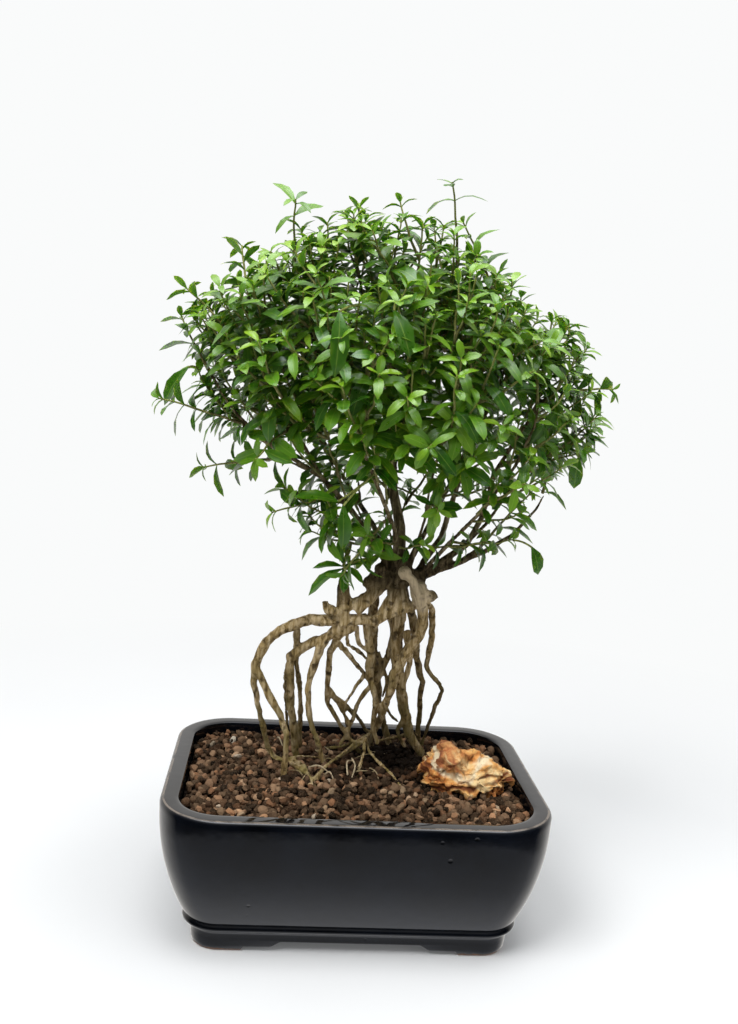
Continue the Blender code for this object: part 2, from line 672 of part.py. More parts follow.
def sleeve(points, radii, sides=8):
    """Vertices and faces of a plain closed tube, in millimetres, for the clearance test."""
    vertices, faces = [], []
    steps = len(points) - 1
    for index, point in enumerate(points):
        before = points[max(index - 1, 0)]
        after = points[min(index + 1, steps)]
        way = (after - before).normalized()
        side = way.orthogonal().normalized()
        other = way.cross(side)
        radius = radii[0] + (radii[1] - radii[0]) * index / steps
        for k in range(sides):
            angle = 2 * math.pi * k / sides
            vertices.append(point + (side * math.cos(angle) + other * math.sin(angle)) * radius)
    for ring in range(steps):
        for k in range(sides):
            a, b = ring * sides + k, ring * sides + (k + 1) % sides
            faces.append((a, b, b + sides, a + sides))
    faces.append(tuple(range(sides)))
    faces.append(tuple(steps * sides + k for k in range(sides)))
    return vertices, faces


def leaf_shape(base, along, up, length, width, droop, grow=0.0, start=0.0):
    """A pointed blade with a keel under its near half, as vertices and faces in millimetres."""
    across = along.cross(up).normalized()
    vertices = []
    sections = (
        (start, LEAF_NECK, NECK_KEEL),
        (BROADEST, width / 2, LEAF_KEEL),
        (SHOULDER[0], width * SHOULDER[1], 0.0),
    )
    for share, half, keel in sections:
        middle = base + along * (share * length) - up * (droop * share * share)
        vertices.append(middle - across * (half + grow) + up * grow)
        vertices.append(middle + across * (half + grow) + up * grow)
        if keel:
            vertices.append(middle - up * (keel + grow))
    vertices.append(base + along * (length + grow) - up * droop)
    faces = [(0, 1, 2), (0, 3, 4, 1), (1, 4, 5, 2), (2, 5, 3, 0), (3, 6, 7, 4), (6, 8, 7)]
    return vertices, faces + [(3, 5, 6), (5, 8, 6), (5, 4, 7), (5, 7, 8)]


def leaf_object(name, shape, collection):
    bm = bmesh.new()
    vertices = [bm.verts.new(in_metres(point)) for point in shape[0]]
    for face in shape[1]:
        bm.faces.new([vertices[index] for index in face])
    return object_from_bmesh(name, bm, collection)


def plan_twigs():
    """Runs a twig to every target, bent a little at a time until its leafy stretch is clear of all."""
    rng = random.Random(SEED)
    neighbours = Neighbours()
    for start, end, route in BRANCHES.values():
        neighbours.add(*sleeve(smooth_route(route, BRANCH_STEP), (start, end)), None)
    for start, end, route in ROOTS.values():
        neighbours.add(*sleeve([Vector(point) for point in route], (start, end)), None)
    spots = branch_spots()
    used = []
    twigs = []
    targets = sorted(crown_targets(), key=lambda point: (point - CROWN_MIDDLE).length, reverse=True)
    targets += [Vector(point) for point in FILLERS.values()]
    for index, target in enumerate(targets):
        found = find_twig(index, target, ranked_spots(target, spots, used), neighbours, rng)
        if found is None:
            continue
        place, woody, leafy = found
        used.append(place)
        neighbours.add(*sleeve(woody, TWIG_RADII), index)
        neighbours.add(*sleeve(leafy, STEM_RADII), index)
        twigs.append((woody, leafy))
    return twigs


def find_twig(index, target, places, neighbours, rng):
    for place, way in places[:PLACES_TRIED]:
        for attempt in range(BENDS_TRIED):
            moved = target + Vector(rng.uniform(-attempt, attempt) for _ in range(3))
            woody, leafy = split_twig(twig_curve(place, way, moved))
            test = [leafy[0].lerp(leafy[1], 0.1)] + leafy[1:]
            grown = [radius + STEM_CLEARANCE for radius in STEM_RADII]
            if neighbours.touches(*sleeve(test, grown), index):
                continue
            grown = [radius + STEM_CLEARANCE for radius in TWIG_RADII]
            if not neighbours.touches(*sleeve(woody, grown), index, stems_only=True):
                return place, woody, leafy
    return None


def stem_nodes(points):
    """Where leaf pairs stand on a stem: the place, the stem's direction and whether it is the tip."""
    lengths = [(b - a).length for a, b in zip(points, points[1:])]
    distance = sum(lengths) - TIP_NODE
    marks = [(distance, True)]
    distance -= BELOW_TIP
    marks.append((distance, False))
    while distance - NODE_SPACING > BARE_STEM:
        distance -= NODE_SPACING
        marks.append((distance, False))
    nodes = []
    for mark, is_tip in marks:
        run = mark
        for k, length in enumerate(lengths):
            if run <= length or k == len(lengths) - 1:
                way = (points[k + 1] - points[k]).normalized()
                nodes.append((points[k] + way * run, way, is_tip))
                break
            run -= length
    return nodes


def place_leaves(points, owner, neighbours, rng):
    """Opposite leaves in crossed pairs along a stem, with a whorl at its tip."""
    shapes = []
    siblings = Neighbours()
    turn = rng.uniform(0, math.pi)
    for place, way, is_tip in stem_nodes(points):
        turn += math.pi / 2 + rng.uniform(-0.2, 0.2)
        side = way.orthogonal().normalized()
        other = way.cross(side)
        for half_turn in (0.0, math.pi):
            for attempt in range(LEAVES_TRIED):
                angle = turn + half_turn + rng.uniform(-0.12, 0.12) * (1 + 2 * attempt)
                out = side * math.cos(angle) + other * math.sin(angle)
                lift = math.radians(rng.uniform(*(TIP_LIFT if is_tip else LEAF_LIFT)))
                along = out * math.cos(lift) + way * math.sin(lift)
                up = way * math.cos(lift) - out * math.sin(lift)
                length = rng.uniform(*LEAF_LENGTHS) * (1.0 - SHORTER_EACH_TRY * attempt)
                width = length * LEAF_WIDTH * rng.uniform(*LEAF_SPREAD)
                droop = length * rng.uniform(*LEAF_DROOP)
                blade = (place, along, up, length, width, droop)
                if neighbours.touches(*leaf_shape(*blade, LEAF_CLEARANCE), skip=owner):
                    continue
                if siblings.touches(*leaf_shape(*blade, LEAF_CLEARANCE, PAST_NECK)):
                    continue
                neighbours.add(*leaf_shape(*blade), owner)
                siblings.add(*leaf_shape(*blade, start=PAST_NECK), None)
                shapes.append(leaf_shape(*blade))
                break
    return shapes


def mesh_in_mm(obj):
    vertices = [vertex.co / MM - POT_MIDDLE for vertex in obj.data.vertices]
    faces = [tuple(polygon.vertices) for polygon in obj.data.polygons]
    return vertices, faces


def build_wood(parts, holding, twigs):
    """Roots, trunk base, branches and woody twigs, fused as they grew."""
    pieces = root_tubes("root_", 0.0, holding)
    for name, (start, end, route) in BRANCHES.items():
        points = smooth_route(route, BRANCH_STEP)
        sides = 6 if start > THIN_RADIUS else 4
        pieces.append(tube("branch_" + name, points, (start, end), sides, holding))
    for index, woody in enumerate(twigs):
        pieces.append(tube(f"twig_{index}", woody, TWIG_RADII, 4, holding))
    return united("trunk_and_roots", pieces, parts)


def build_sprays(parts, holding, stems, wood):
    """One fused node for each leafy stem, every leaf clear of the wood and of all other sprays."""
    rng = random.Random(SEED)
    neighbours = Neighbours()
    neighbours.add(*mesh_in_mm(wood), None)
    for index, points in enumerate(stems):
        neighbours.add(*sleeve(points, STEM_RADII), index)
    sprays = []
    for index, points in enumerate(stems):
        pieces = [tube(f"stem_{index}", points, STEM_RADII, 4, holding)]
        shapes = place_leaves(points, index, neighbours, rng)
        pieces += [leaf_object(f"leaf_{index}_{k}", shape, holding) for k, shape in enumerate(shapes)]
        sprays.append(united(f"spray_{index + 1:02d}", pieces, parts))
    return sprays


def build():
    for obj in list(bpy.data.objects):
        bpy.data.objects.remove(obj)
    parts = bpy.data.collections.new("serissa_bonsai")
    cutters = bpy.data.collections.new("cutters")
    for collection in (parts, cutters):
        bpy.context.scene.collection.children.link(collection)

    glaze = make_material("black_glaze", (0.018, 0.020, 0.024), 0.12)
    clay = make_material("clay_pellets", (0.10, 0.060, 0.042), 0.9)
    rock = make_material("rust_quartz", (0.62, 0.36, 0.19), 0.7)
    bark = make_material("bark", (0.32, 0.24, 0.14), 0.8)
    leaf = make_material("leaf_green", (0.10, 0.27, 0.05), 0.4)
    plastic = make_material("screen_plastic", (0.03, 0.03, 0.03), 0.5)

    twigs = plan_twigs()
    wood = build_wood(parts, cutters, [woody for woody, _ in twigs])
    sprays = build_sprays(parts, cutters, [leafy for _, leafy in twigs], wood)

    stone = build_stone("stone", 0.0, parts)
    stone_seat = build_stone("stone_seat", GAP, cutters)
    root_holes = united("root_holes", root_tubes("hole_", ROOT_GAP, cutters), cutters)
    pot = build_pot(parts, cutters)
    screen = build_screen(parts, cutters)
    soil = build_soil(parts, cutters, root_holes, stone_seat)

    finish(pot, glaze)
    finish(screen, plastic)
    finish(soil, clay, 20.0)
    finish(stone, rock, 25.0)
    finish(wood, bark, 60.0)
    for spray in sprays:
        finish(spray, leaf, 40.0)
    for cutter in cutters.objects:
        cutter.hide_render = True
        cutter.display_type = "WIRE"


build()
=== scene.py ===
"""The looks of the serissa bonsai: glazed pot, clay grains, rock, knotted roots, branches and leaves.

Lengths are in millimetres from the middle of the pot's footprint until a mesh is made, +Z is up and
-Y is the front.
"""

import math
import random

import bmesh
import bpy
import numpy as np
from mathutils import Matrix, Vector, noise
from mathutils.bvhtree import BVHTree


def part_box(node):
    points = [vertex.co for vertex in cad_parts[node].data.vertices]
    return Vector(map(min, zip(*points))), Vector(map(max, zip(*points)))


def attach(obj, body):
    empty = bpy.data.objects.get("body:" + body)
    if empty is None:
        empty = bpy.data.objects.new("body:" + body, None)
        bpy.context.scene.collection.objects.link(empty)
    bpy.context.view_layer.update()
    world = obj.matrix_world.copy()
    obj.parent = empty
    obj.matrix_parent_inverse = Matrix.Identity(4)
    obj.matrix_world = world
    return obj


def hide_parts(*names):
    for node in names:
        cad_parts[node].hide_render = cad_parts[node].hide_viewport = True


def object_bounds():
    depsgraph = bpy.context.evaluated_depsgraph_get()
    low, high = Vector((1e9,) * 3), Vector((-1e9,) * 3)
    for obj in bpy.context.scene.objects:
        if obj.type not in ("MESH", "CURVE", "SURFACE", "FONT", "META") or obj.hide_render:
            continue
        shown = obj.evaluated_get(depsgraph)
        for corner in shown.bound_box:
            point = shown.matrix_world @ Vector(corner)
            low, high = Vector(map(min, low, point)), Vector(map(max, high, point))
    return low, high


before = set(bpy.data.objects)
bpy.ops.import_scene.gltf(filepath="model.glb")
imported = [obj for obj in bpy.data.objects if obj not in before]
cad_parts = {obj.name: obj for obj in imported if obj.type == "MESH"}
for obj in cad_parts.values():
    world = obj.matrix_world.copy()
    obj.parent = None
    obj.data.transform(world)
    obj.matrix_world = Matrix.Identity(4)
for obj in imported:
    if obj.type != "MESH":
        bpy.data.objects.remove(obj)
CAD_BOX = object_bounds()

MM = 0.001
SEED = 27
POT_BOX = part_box("pot")
POT_MIDDLE = Vector(((POT_BOX[0].x + POT_BOX[1].x) / 2, (POT_BOX[0].y + POT_BOX[1].y) / 2, 0.0)) / MM

# Camera: where it stands round the pot, how it leans, and the point it looks at
CAMERA_AZIMUTH = -4.81
CAMERA_ELEVATION = 7.68
CAMERA_ROLL = 3.97
CAMERA_DISTANCE = 504.8
CAMERA_AIM = Vector((-0.93, 0.0, 196.71))
CAMERA_LENS = 36.99
CAMERA_SENSOR = 36.0

# Studio: light from all around, and what glossy surfaces mirror in front at each height of view
AMBIENT = 0.32
SOFT_LIGHT = (0.95, 0.97, 1.0)
FRONT_ROOM = ((-1.0, 0.90), (-0.80, 0.52), (-0.50, 0.34), (-0.45, 0.05), (-0.38, 0.012), (0.30, 0.015),
              (0.62, 0.25), (0.80, 0.9), (0.93, 6.0))
FRONT_TINT = (1.0, 1.02, 1.07)
BACK_ROOM = (0.95, 0.93, 0.90)
BACKDROP = (0.955, 0.965, 0.965)
FLOOR_RADIUS = 900.0
FLOOR_DROP = 0.02
# How much the floor glows near the pot: painted light that lifts the shadows on it.
FLOOR_GLOW = 0.07
FLOOR_FADE = (0.78, 0.42)
# Soft boxes: where each stands and its side, in metres, and its power in watts
SOFT_BOXES = {"key": ((-0.8, -0.8, 1.5), 0.8, 22.0), "fill": ((1.2, -0.9, 0.9), 1.2, 5.0),
              "top": ((0.1, -0.1, 1.6), 1.0, 18.0)}
LIT_SPOT = (0.0, 0.0, 0.18)

# Pot: the outline in plan, and the profile as heights and how far each lies in from the rim
POT_WIDTH = 180.0
POT_DEPTH = 137.0
POT_HEIGHT = 68.5
RIM_CORNER = 29.5
LEAST_CORNER = 6.0
RIM_WALL = 8.6
RIM_EDGE = 2.5
SIDE_FOOT = 15.0
SIDE_TAPER = 12.7
SIDE_BULGE = 2.2
INNER_TAPER = 0.9
FLOOR_TOP = 13.0
FOOT_WALL = 9.0
FOOT_PAD = 21.0
FOOT_LEDGE = 13.0
FOOT_OGEE = 6.0
LEDGE_HEIGHT = 2.3
APRON_HEIGHT = 5.2
UNDERSIDE = 6.0
DRAIN_RADIUS = 8.0
RIM_ROLL = ((68.05, 8.3), (68.4, 7.4), (68.5, 6.2), (68.5, 2.4), (68.45, 1.7), (68.25, 1.1),
            (67.95, 0.7), (67.3, 0.25), (66.4, 0.0), (65.0, 0.0))
ARRIS = (68.2, 68.48)
ARRIS_MARGIN = -5.0
SOFTENED_EDGE = 0.45
BEAD_AND_FOOT = ((15.4, 12.5), (14.7, 12.9), (14.2, 13.2), (13.9, 13.0), (13.4, 12.6), (12.6, 12.4),
                 (11.8, 12.6), (11.1, 13.2), (10.5, 14.2), (9.9, 15.2), (9.3, 15.8), (8.5, 16.1),
                 (6.0, 16.3), (3.0, 16.6), (1.0, 17.0), (0.35, 17.5), (0.0, 18.8))
FLOOR_FILLET = ((22.0, 18.3), (18.0, 19.4), (15.2, 22.0), (13.4, 25.6), (FLOOR_TOP, 29.0))
SIDE_LEVELS = np.linspace(16.4, 63.5, 24)
INNER_LEVELS = (67.3, 65.0, 55.0, 44.0, 33.0, 26.0)
CUT_START = -2.0
OGEE_STEPS = 8
CORNER_SEGMENTS = 16
GLAZE_WAVE = 0.16

# Soil: two layers of loose grains and a few scattered ones, over a packed bed
SOIL_ZONE = 55.0
BED_DROP = 3.4
GRAIN_PITCH = 3.65
GRAIN_JITTER = 1.0
GRAIN_LIFT = 0.8
GRAIN_SIZE = (1.5, 2.35)
SIZE_CLASSES = (0.75, 0.95, 1.0, 1.1)
GRAIN_LAYERS = (-2.6, -0.5)
LAYER_SHIFT = 0.33
GRAIN_EDGE = 1.6
GRAIN_CHIPS = 8
CHIP_DEPTHS = (0.52, 0.88)
GRAIN_TONES = (1.25, 1.35)
SCATTERED_GRAINS = 170
SCATTERED_SIZE = (0.9, 2.0)
SCATTERED_LIFT = 1.7
SAMPLE_REACH = 5.0

# Rock: how square and narrow it is, where it shifts, its cream stripe's height, slope and half width,
# and the fineness and tilt of its large and small faces
ROCK_SQUARENESS = 0.25
ROCK_NARROWING = 0.81
ROCK_SHIFT = (1.0, 0.0, -1.3)
ROCK_STRIPE = (76.0, -0.04, 3.6)
ROCK_FACES = ((0.075, 4.6), (0.17, 2.4))

# Roots and wood
SOIL_LEVEL = 62.0
BASE_LEVEL = 172.0
TRUNK_BASE = Vector((17.0, 1.0, 166.0))
CROWN_FOOT = TRUNK_BASE + Vector((-6, 1, 14))
WOOD_VOXEL = 0.62
WOOD_TRIANGLES = 150000
SWELL = (0.25, -0.42)
# Roots and stubs too fine for the solids: the points of each, and its radius at both ends
FINE_ROOTS = (
    (((17, -11, 170), (22, -11, 166), (25, -10, 160), (27, -8, 152), (27, -4, 138), (22, 1, 127),
      (17, 5, 114), (16, 11, 102), (15, 19, 90), (12, 27, 77)), 2.9, 1.9),
    (((-12, -2, 148), (-15, -3, 148), (-18, -5, 149), (-19, -5, 153)), 2.3, 1.1),
    (((24, -8, 165), (27, -9, 161), (31, -9, 158), (34, -8, 159)), 2.4, 1.3),
    (((-3, 6, 139), (-1, 8, 130), (4, 11, 125)), 1.2, 0.8),
    (((-12, 16, 102), (-6, 20, 92), (-2, 26, 80), (1, 30, 70)), 1.5, 1.0),
    (((17, 24, 93), (24, 30, 83), (31, 36, 77), (37, 40, 72)), 1.2, 0.8),
    (((10, 18, 123), (15, 20, 109), (15, 24, 98)), 1.3, 0.9),
    (((-44, 27, 67), (-38, 8, 68), (-28, 11, 69), (-21, 14, 68), (-10, 15, 67)), 1.0, 0.7),
    (((-30, 11, 67), (-24, 1, 68), (-20, -16, 65)), 1.1, 0.8),
    (((-22, -16, 65), (-14, 1, 68), (-2, 18, 70), (8, 26, 74)), 0.9, 1.4),
    (((-13, 27, 68), (-4, 28, 69), (3, 31, 71), (8, 30, 73)), 1.2, 0.8),
    (((-5, -2, 148), (4, -3, 158), (11, -4, 166)), 2.4, 3.0),
    (((5, 2, 140), (9, -2, 150), (14, -5, 162)), 1.8, 2.4),
    (((-11, -1, 154), (-11, -2, 162), (-10, -3, 168)), 3.4, 2.6),
    (((1, 7, 144), (5, 10, 126), (6, 13, 111), (11, 15, 97), (10, 20, 84), (14, 22, 73)), 2.2, 1.5),
    (((15, 10, 146), (17, 15, 130), (12, 19, 113), (3, 20, 97), (-1, 22, 84), (-6, 24, 71)), 1.9, 1.2),
    (((22, 4, 138), (26, 9, 122), (23, 14, 107), (27, 19, 93), (24, 25, 80), (29, 28, 70)), 1.7, 1.2),
)
# Knobs on the trunk's base: middle and radius
KNOBS = (
    ((17, -11, 170), 4.1), ((31, -9, 159), 2.9), ((27, -7, 163), 2.8), ((1, -2, 163), 3.8),
    ((6, -4, 170), 3.6), ((-17, -4, 149), 2.4), ((-11, -1, 147), 3.0),
)
# The pale cut stub: its points, and how far its colour reaches
PALE_STUB = ((17, -11, 170), (21, -11, 167), (24, -10, 162), (26, -8, 157))
PALE_REACH = 3.6
# Fine pale rootlets that the eye meets, and how many more lie between them
PALE_ROOTLETS = (
    ((-3, -6, 67), (-3, 3, 70), (0, 8, 69)), ((0, 11, 69), (1, 1, 69), (-1, -9, 67)),
    ((-14, -6, 67), (-12, -8, 69), (-10, -10, 66)), ((-38, 39, 68), (-37, 34, 70), (-35, 30, 67)),
    ((-22, 2, 67), (-17, -3, 70), (-12, -4, 67)),
)
ROOTLETS = 10
PIT_SHIFT = Vector((9.0, 0.0, 0.0))

# Crown: how far it reaches to the left and right of the pot's middle at each height
CROWN_ROWS = ((168, -18, 12), (178, -22, 31), (190, -26, 76), (202, -28, 84), (214, -38, 84),
              (225, -46, 100), (237, -58, 105), (248, -79, 107), (260, -86, 105), (272, -93, 101),
              (284, -91, 93), (296, -90, 89), (307, -76, 70), (318, -53, 52), (330, -40, 38),
              (341, -34, 16), (346, -22, 0))
CROWN_DEPTH = 0.80
CROWN_BACK = 76.0
CROWN_FILL = 0.97
SECTORS = 8
TWIG_ENDS = 480
TWIG_TRIES = 60000
TWIG_LIMITS = ((-112, 112), (-80, 80), (172, 340))
TWIG_GAP = 10.0
# Twig ends given where the outline has to be full: right edge, right shoulder, low left, left edge
CHOSEN_ENDS = (
    (103, -6, 250), (107, 4, 245), (99, -12, 243), (101, 9, 255), (104, -2, 238), (96, -16, 234),
    (98, 8, 236), (90, 0, 287), (86, -12, 290), (92, 8, 280), (83, 5, 293), (-31, -12, 196),
    (-22, -16, 198), (-30, -5, 187), (-43, -4, 207), (-20, -6, 190), (-37, -13, 205), (-24, -21, 207),
    (-82, 0, 254), (-78, -10, 249), (-80, 10, 248), (-73, 0, 245), (-85, -8, 259),
)

# Stems and leaves: sizes, and where the pairs stand and how the leaves lie, from the tip of a twig down
STEM_SIDES = 6
LEAF_LENGTHS = (9.5, 16.0)
LEAF_WIDTH = 0.38
LEAF_COLUMNS = (-1.0, -0.5, 0.0, 0.5, 1.0)
FIRST_PAIR = 0.5
TIP_GAP = 1.8
PAIR_GAPS = (4.2, 7.2)
TIP_SIZE = 0.55
TIP_LIFTS = (35, 65)
LEAF_LIFTS = (18, 52)
LEAF_LIGHT = Vector((0.0, -0.35, 1.0))
LEAF_DROOPS = (0.25, 0.85)
LEAF_FOLDS = (0.15, 0.6)
BOX_MARGIN = 0.6
LEAF_STATIONS = (0.0, 0.12, 0.34, 0.58, 0.82, 1.0)
LEAF_THICKNESS = 0.4
GREEN_TIP = 42.0
# Shoots that end above this height are bare below their end leaves, which are larger and less young
TALL_SHOOT = 338.0
TALL_TIP_SIZE = 0.85
TALL_YOUTH = 0.35
TALL_LEAFY = 12.0
SHOOT_LEAFY = 44.0

# The few long leaves that catch the eye: start, direction, length, width and what the upper side faces
LONG_LEAVES = (
    ((-88, -14, 260), (-0.72, -0.1, -0.68), 21.0, 7.2, (-0.4, -0.8, 0.5)),
    ((-24, -66, 287), (0.05, -0.55, -0.83), 26.0, 8.6, (0.2, -1.0, 0.6)),
    ((-2, -65, 289), (0.40, -0.60, -0.68), 20.0, 7.8, (0.1, -1.0, 0.7)),
    ((93, -20, 231), (-0.12, -0.2, -0.97), 15.0, 6.8, (-0.3, -1.0, 0.2)),
    ((74, -22, 188), (0.5, -0.25, -0.82), 14.0, 6.4, (0.3, -1.0, 0.5)),
    ((-18, -42, 206), (-0.85, -0.25, 0.35), 19.0, 6.8, (0.1, -0.7, 0.8)),
    ((-16, -42, 205), (0.1, -0.3, -0.95), 20.0, 7.2, (0.1, -1.0, 0.4)),
    ((-12, -8, 170), (-0.85, -0.2, -0.30), 20.0, 6.4, (-0.3, -0.5, 0.9)),
    ((-12, -8, 171), (0.70, -0.30, 0.45), 13.0, 4.6, (-0.3, -0.6, 0.8)),
    ((-12, -8, 172), (-0.40, -0.25, 0.88), 13.0, 4.8, (-0.6, -0.6, 0.3)),
    ((-12, -8, 171), (0.85, -0.30, -0.25), 12.0, 4.4, (0.2, -0.6, 0.8)),
    ((-12, -8, 171), (-0.95, -0.10, 0.25), 14.0, 4.6, (0.1, -0.5, 0.9)),
    ((-12, -8, 170), (0.10, -0.60, -0.75), 11.0, 4.8, (0.1, -0.9, 0.4)),
)


def place(point):
    """A point in metres, from millimetres about the pot."""
    return (Vector(point) + POT_MIDDLE) * MM


def in_mm(mesh):
    """The vertices of a mesh in millimetres about the pot, as an array."""
    flat = np.empty(len(mesh.vertices) * 3, dtype=np.float32)
    mesh.vertices.foreach_get("co", flat)
    return flat.reshape(-1, 3).astype(float) / MM - np.array(POT_MIDDLE)


def make_object(name, mesh):
    obj = bpy.data.objects.new(name, mesh)
    bpy.context.scene.collection.objects.link(obj)
    return obj


def clamp(value):
    return max(0.0, min(1.0, value))


def keep_marks(mesh, marks):
    """Keeps four shares of 0 to 1 at each vertex, for the looks to read."""
    layer = mesh.attributes.new("marks", "FLOAT_COLOR", "POINT")
    layer.data.foreach_set("color", np.asarray(marks, dtype=np.float32).ravel())


def mesh_from_arrays(name, points, faces, marks=None):
    """A mesh from millimetre points, with or without marks."""
    mesh = bpy.data.meshes.new(name)
    metres = (np.asarray(points, dtype=float) + np.array(POT_MIDDLE)) * MM
    mesh.from_pydata(metres.tolist(), [], faces)
    if marks is not None:
        keep_marks(mesh, marks)
    mesh.validate()
    mesh.update()
    return mesh


def apply_modifiers(obj):
    """Bakes an object's modifiers into its mesh."""
    bpy.context.view_layer.update()
    old = obj.data
    obj.data = bpy.data.meshes.new_from_object(obj.evaluated_get(bpy.context.evaluated_depsgraph_get()))
    obj.modifiers.clear()
    bpy.data.meshes.remove(old)


def push_out(mesh, depth):
    """Moves each vertex along its normal by a depth in millimetres worked out from its place."""
    count = len(mesh.vertices) * 3
    spots, normals = np.empty(count, dtype=np.float32), np.empty(count, dtype=np.float32)
    mesh.vertices.foreach_get("co", spots)
    mesh.vertex_normals.foreach_get("vector", normals)
    spots, normals = spots.reshape(-1, 3), normals.reshape(-1, 3)
    depths = np.array([depth(Vector(spot) / MM) for spot in spots.tolist()])
    mesh.vertices.foreach_set("co", (spots + normals * depths[:, None] * MM).astype(np.float32).ravel())
    mesh.update()


def modify(obj, kind, **settings):
    modifier = obj.modifiers.new(kind.title(), kind)
    for name, value in settings.items():
        setattr(modifier, name, value)


def dress(obj, material, slot, *nodes, smooth=True):
    """Gives a piece its material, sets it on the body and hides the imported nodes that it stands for."""
    obj.data.materials.clear()
    obj.data.materials.append(material)
    if smooth:
        obj.data.shade_smooth()
    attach(obj, "root")
    if nodes:
        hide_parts(*nodes)
    return obj


class Textures:
    """A node tree, with short calls for the textures and sums that the looks share."""

    def __init__(self, tree, coordinates):
        self.tree = tree
        self.where = tree.nodes.new("ShaderNodeTexCoord").outputs[coordinates]

    def link(self, value, socket):
        """Feeds a socket from an output, or sets it. A colour of three numbers is opaque."""
        if isinstance(value, bpy.types.NodeSocket):
            self.tree.links.new(value, socket)
        elif socket.type == "RGBA" and len(value) == 3:
            socket.default_value = (*value, 1.0)
        else:
            socket.default_value = value

    def wire(self, node, output, inputs):
        """Feeds or sets a node's inputs and gives one of its outputs."""
        for socket, value in inputs.items():
            self.link(value, node.inputs[socket])
        return node.outputs[output]

    def noise(self, scale, detail=3.0, rough=0.5, distort=0.0, where=None):
        return self.wire(self.tree.nodes.new("ShaderNodeTexNoise"), "Fac", {
            "Vector": where or self.where, "Scale": scale, "Detail": detail, "Roughness": rough,
            "Distortion": distort})

    def cells(self, scale):
        """The distance to the middle of the nearest cell."""
        return self.wire(self.tree.nodes.new("ShaderNodeTexVoronoi"), "Distance",
                         {"Vector": self.where, "Scale": scale})

    def mapped(self, location, scale):
        return self.wire(self.tree.nodes.new("ShaderNodeMapping"), "Vector",
                         {"Vector": self.where, "Location": location, "Scale": scale})

    def axis(self, name):
        """The place along the X, Y or Z axis, in metres."""
        return self.wire(self.tree.nodes.new("ShaderNodeSeparateXYZ"), name, {"Vector": self.where})

    def around(self, spot, reach):
        """1 at a spot, even down to 0 at the reach, in metres."""
        node = self.tree.nodes.new("ShaderNodeTexGradient")
        node.gradient_type = "SPHERICAL"
        where = self.mapped([-value / reach for value in spot], (1 / reach,) * 3)
        return self.wire(node, "Fac", {"Vector": where})

    def ramp(self, share, *stops):
        node = self.tree.nodes.new("ShaderNodeValToRGB")
        elements = node.color_ramp.elements
        while len(elements) < len(stops):
            elements.new(1.0)
        for element, (position, color) in zip(elements, stops):
            element.position = position
            element.color = (*color, 1.0)
        return self.wire(node, "Color", {"Fac": share})

    def step(self, share, low, high):
        """0 below low, 1 above high, and even between them."""
        return self.wire(self.tree.nodes.new("ShaderNodeMapRange"), "Result",
                         {"Value": share, "From Min": low, "From Max": high})

    def blend(self, share, first, second, kind="MIX"):
        node = self.tree.nodes.new("ShaderNodeMix")
        node.data_type = "RGBA"
        node.blend_type = kind
        return self.wire(node, 2, {0: share, 6: first, 7: second})

    def calc(self, operation, first, second):
        node = self.tree.nodes.new("ShaderNodeMath")
        node.operation = operation
        return self.wire(node, 0, {0: first, 1: second})

    def plus(self, first, second):
        return self.calc("ADD", first, second)

    def times(self, product, *others):
        for other in others:
            product = self.calc("MULTIPLY", product, other)
        return product

    def rest(self, share, whole=1.0):
        """What a share leaves of a whole."""
        return self.calc("SUBTRACT", whole, share)

    def over(self, color, tint, *shares):
        """A colour under a tint that is as strong as the product of the shares."""
        return self.blend(self.times(*shares), color, tint)


class Looks(Textures):
    """One material: textures that end in its shader."""

    def __init__(self, name, **constants):
        self.material = bpy.data.materials.new(name)
        self.material.use_nodes = True
        super().__init__(self.material.node_tree, "Object")
        self.shader = self.tree.nodes["Principled BSDF"]
        for socket, value in constants.items():
            self.shader.inputs[socket.replace("_", " ")].default_value = value

    def marks(self):
        """The shares kept at the vertices: red, green, blue and alpha sockets."""
        node = self.tree.nodes.new("ShaderNodeAttribute")
        node.attribute_name = "marks"
        parts = self.tree.nodes.new("ShaderNodeSeparateColor")
        self.link(node.outputs["Color"], parts.inputs["Color"])
        return [*parts.outputs, node.outputs["Alpha"]]

    def bump(self, strength, distance, *heights):
        """Relief from one or more heights, each a share of the distance in metres."""
        under = {}
        for height in heights:
            normal = self.wire(self.tree.nodes.new("ShaderNodeBump"), "Normal", {
                "Strength": strength, "Distance": distance, "Height": height, **under})
            under = {"Normal": normal}
        self.link(normal, self.shader.inputs["Normal"])

    def finish(self, color, roughness=None):
        self.link(color, self.shader.inputs["Base Color"])
        if roughness is not None:
            self.link(roughness, self.shader.inputs["Roughness"])
        return self.material


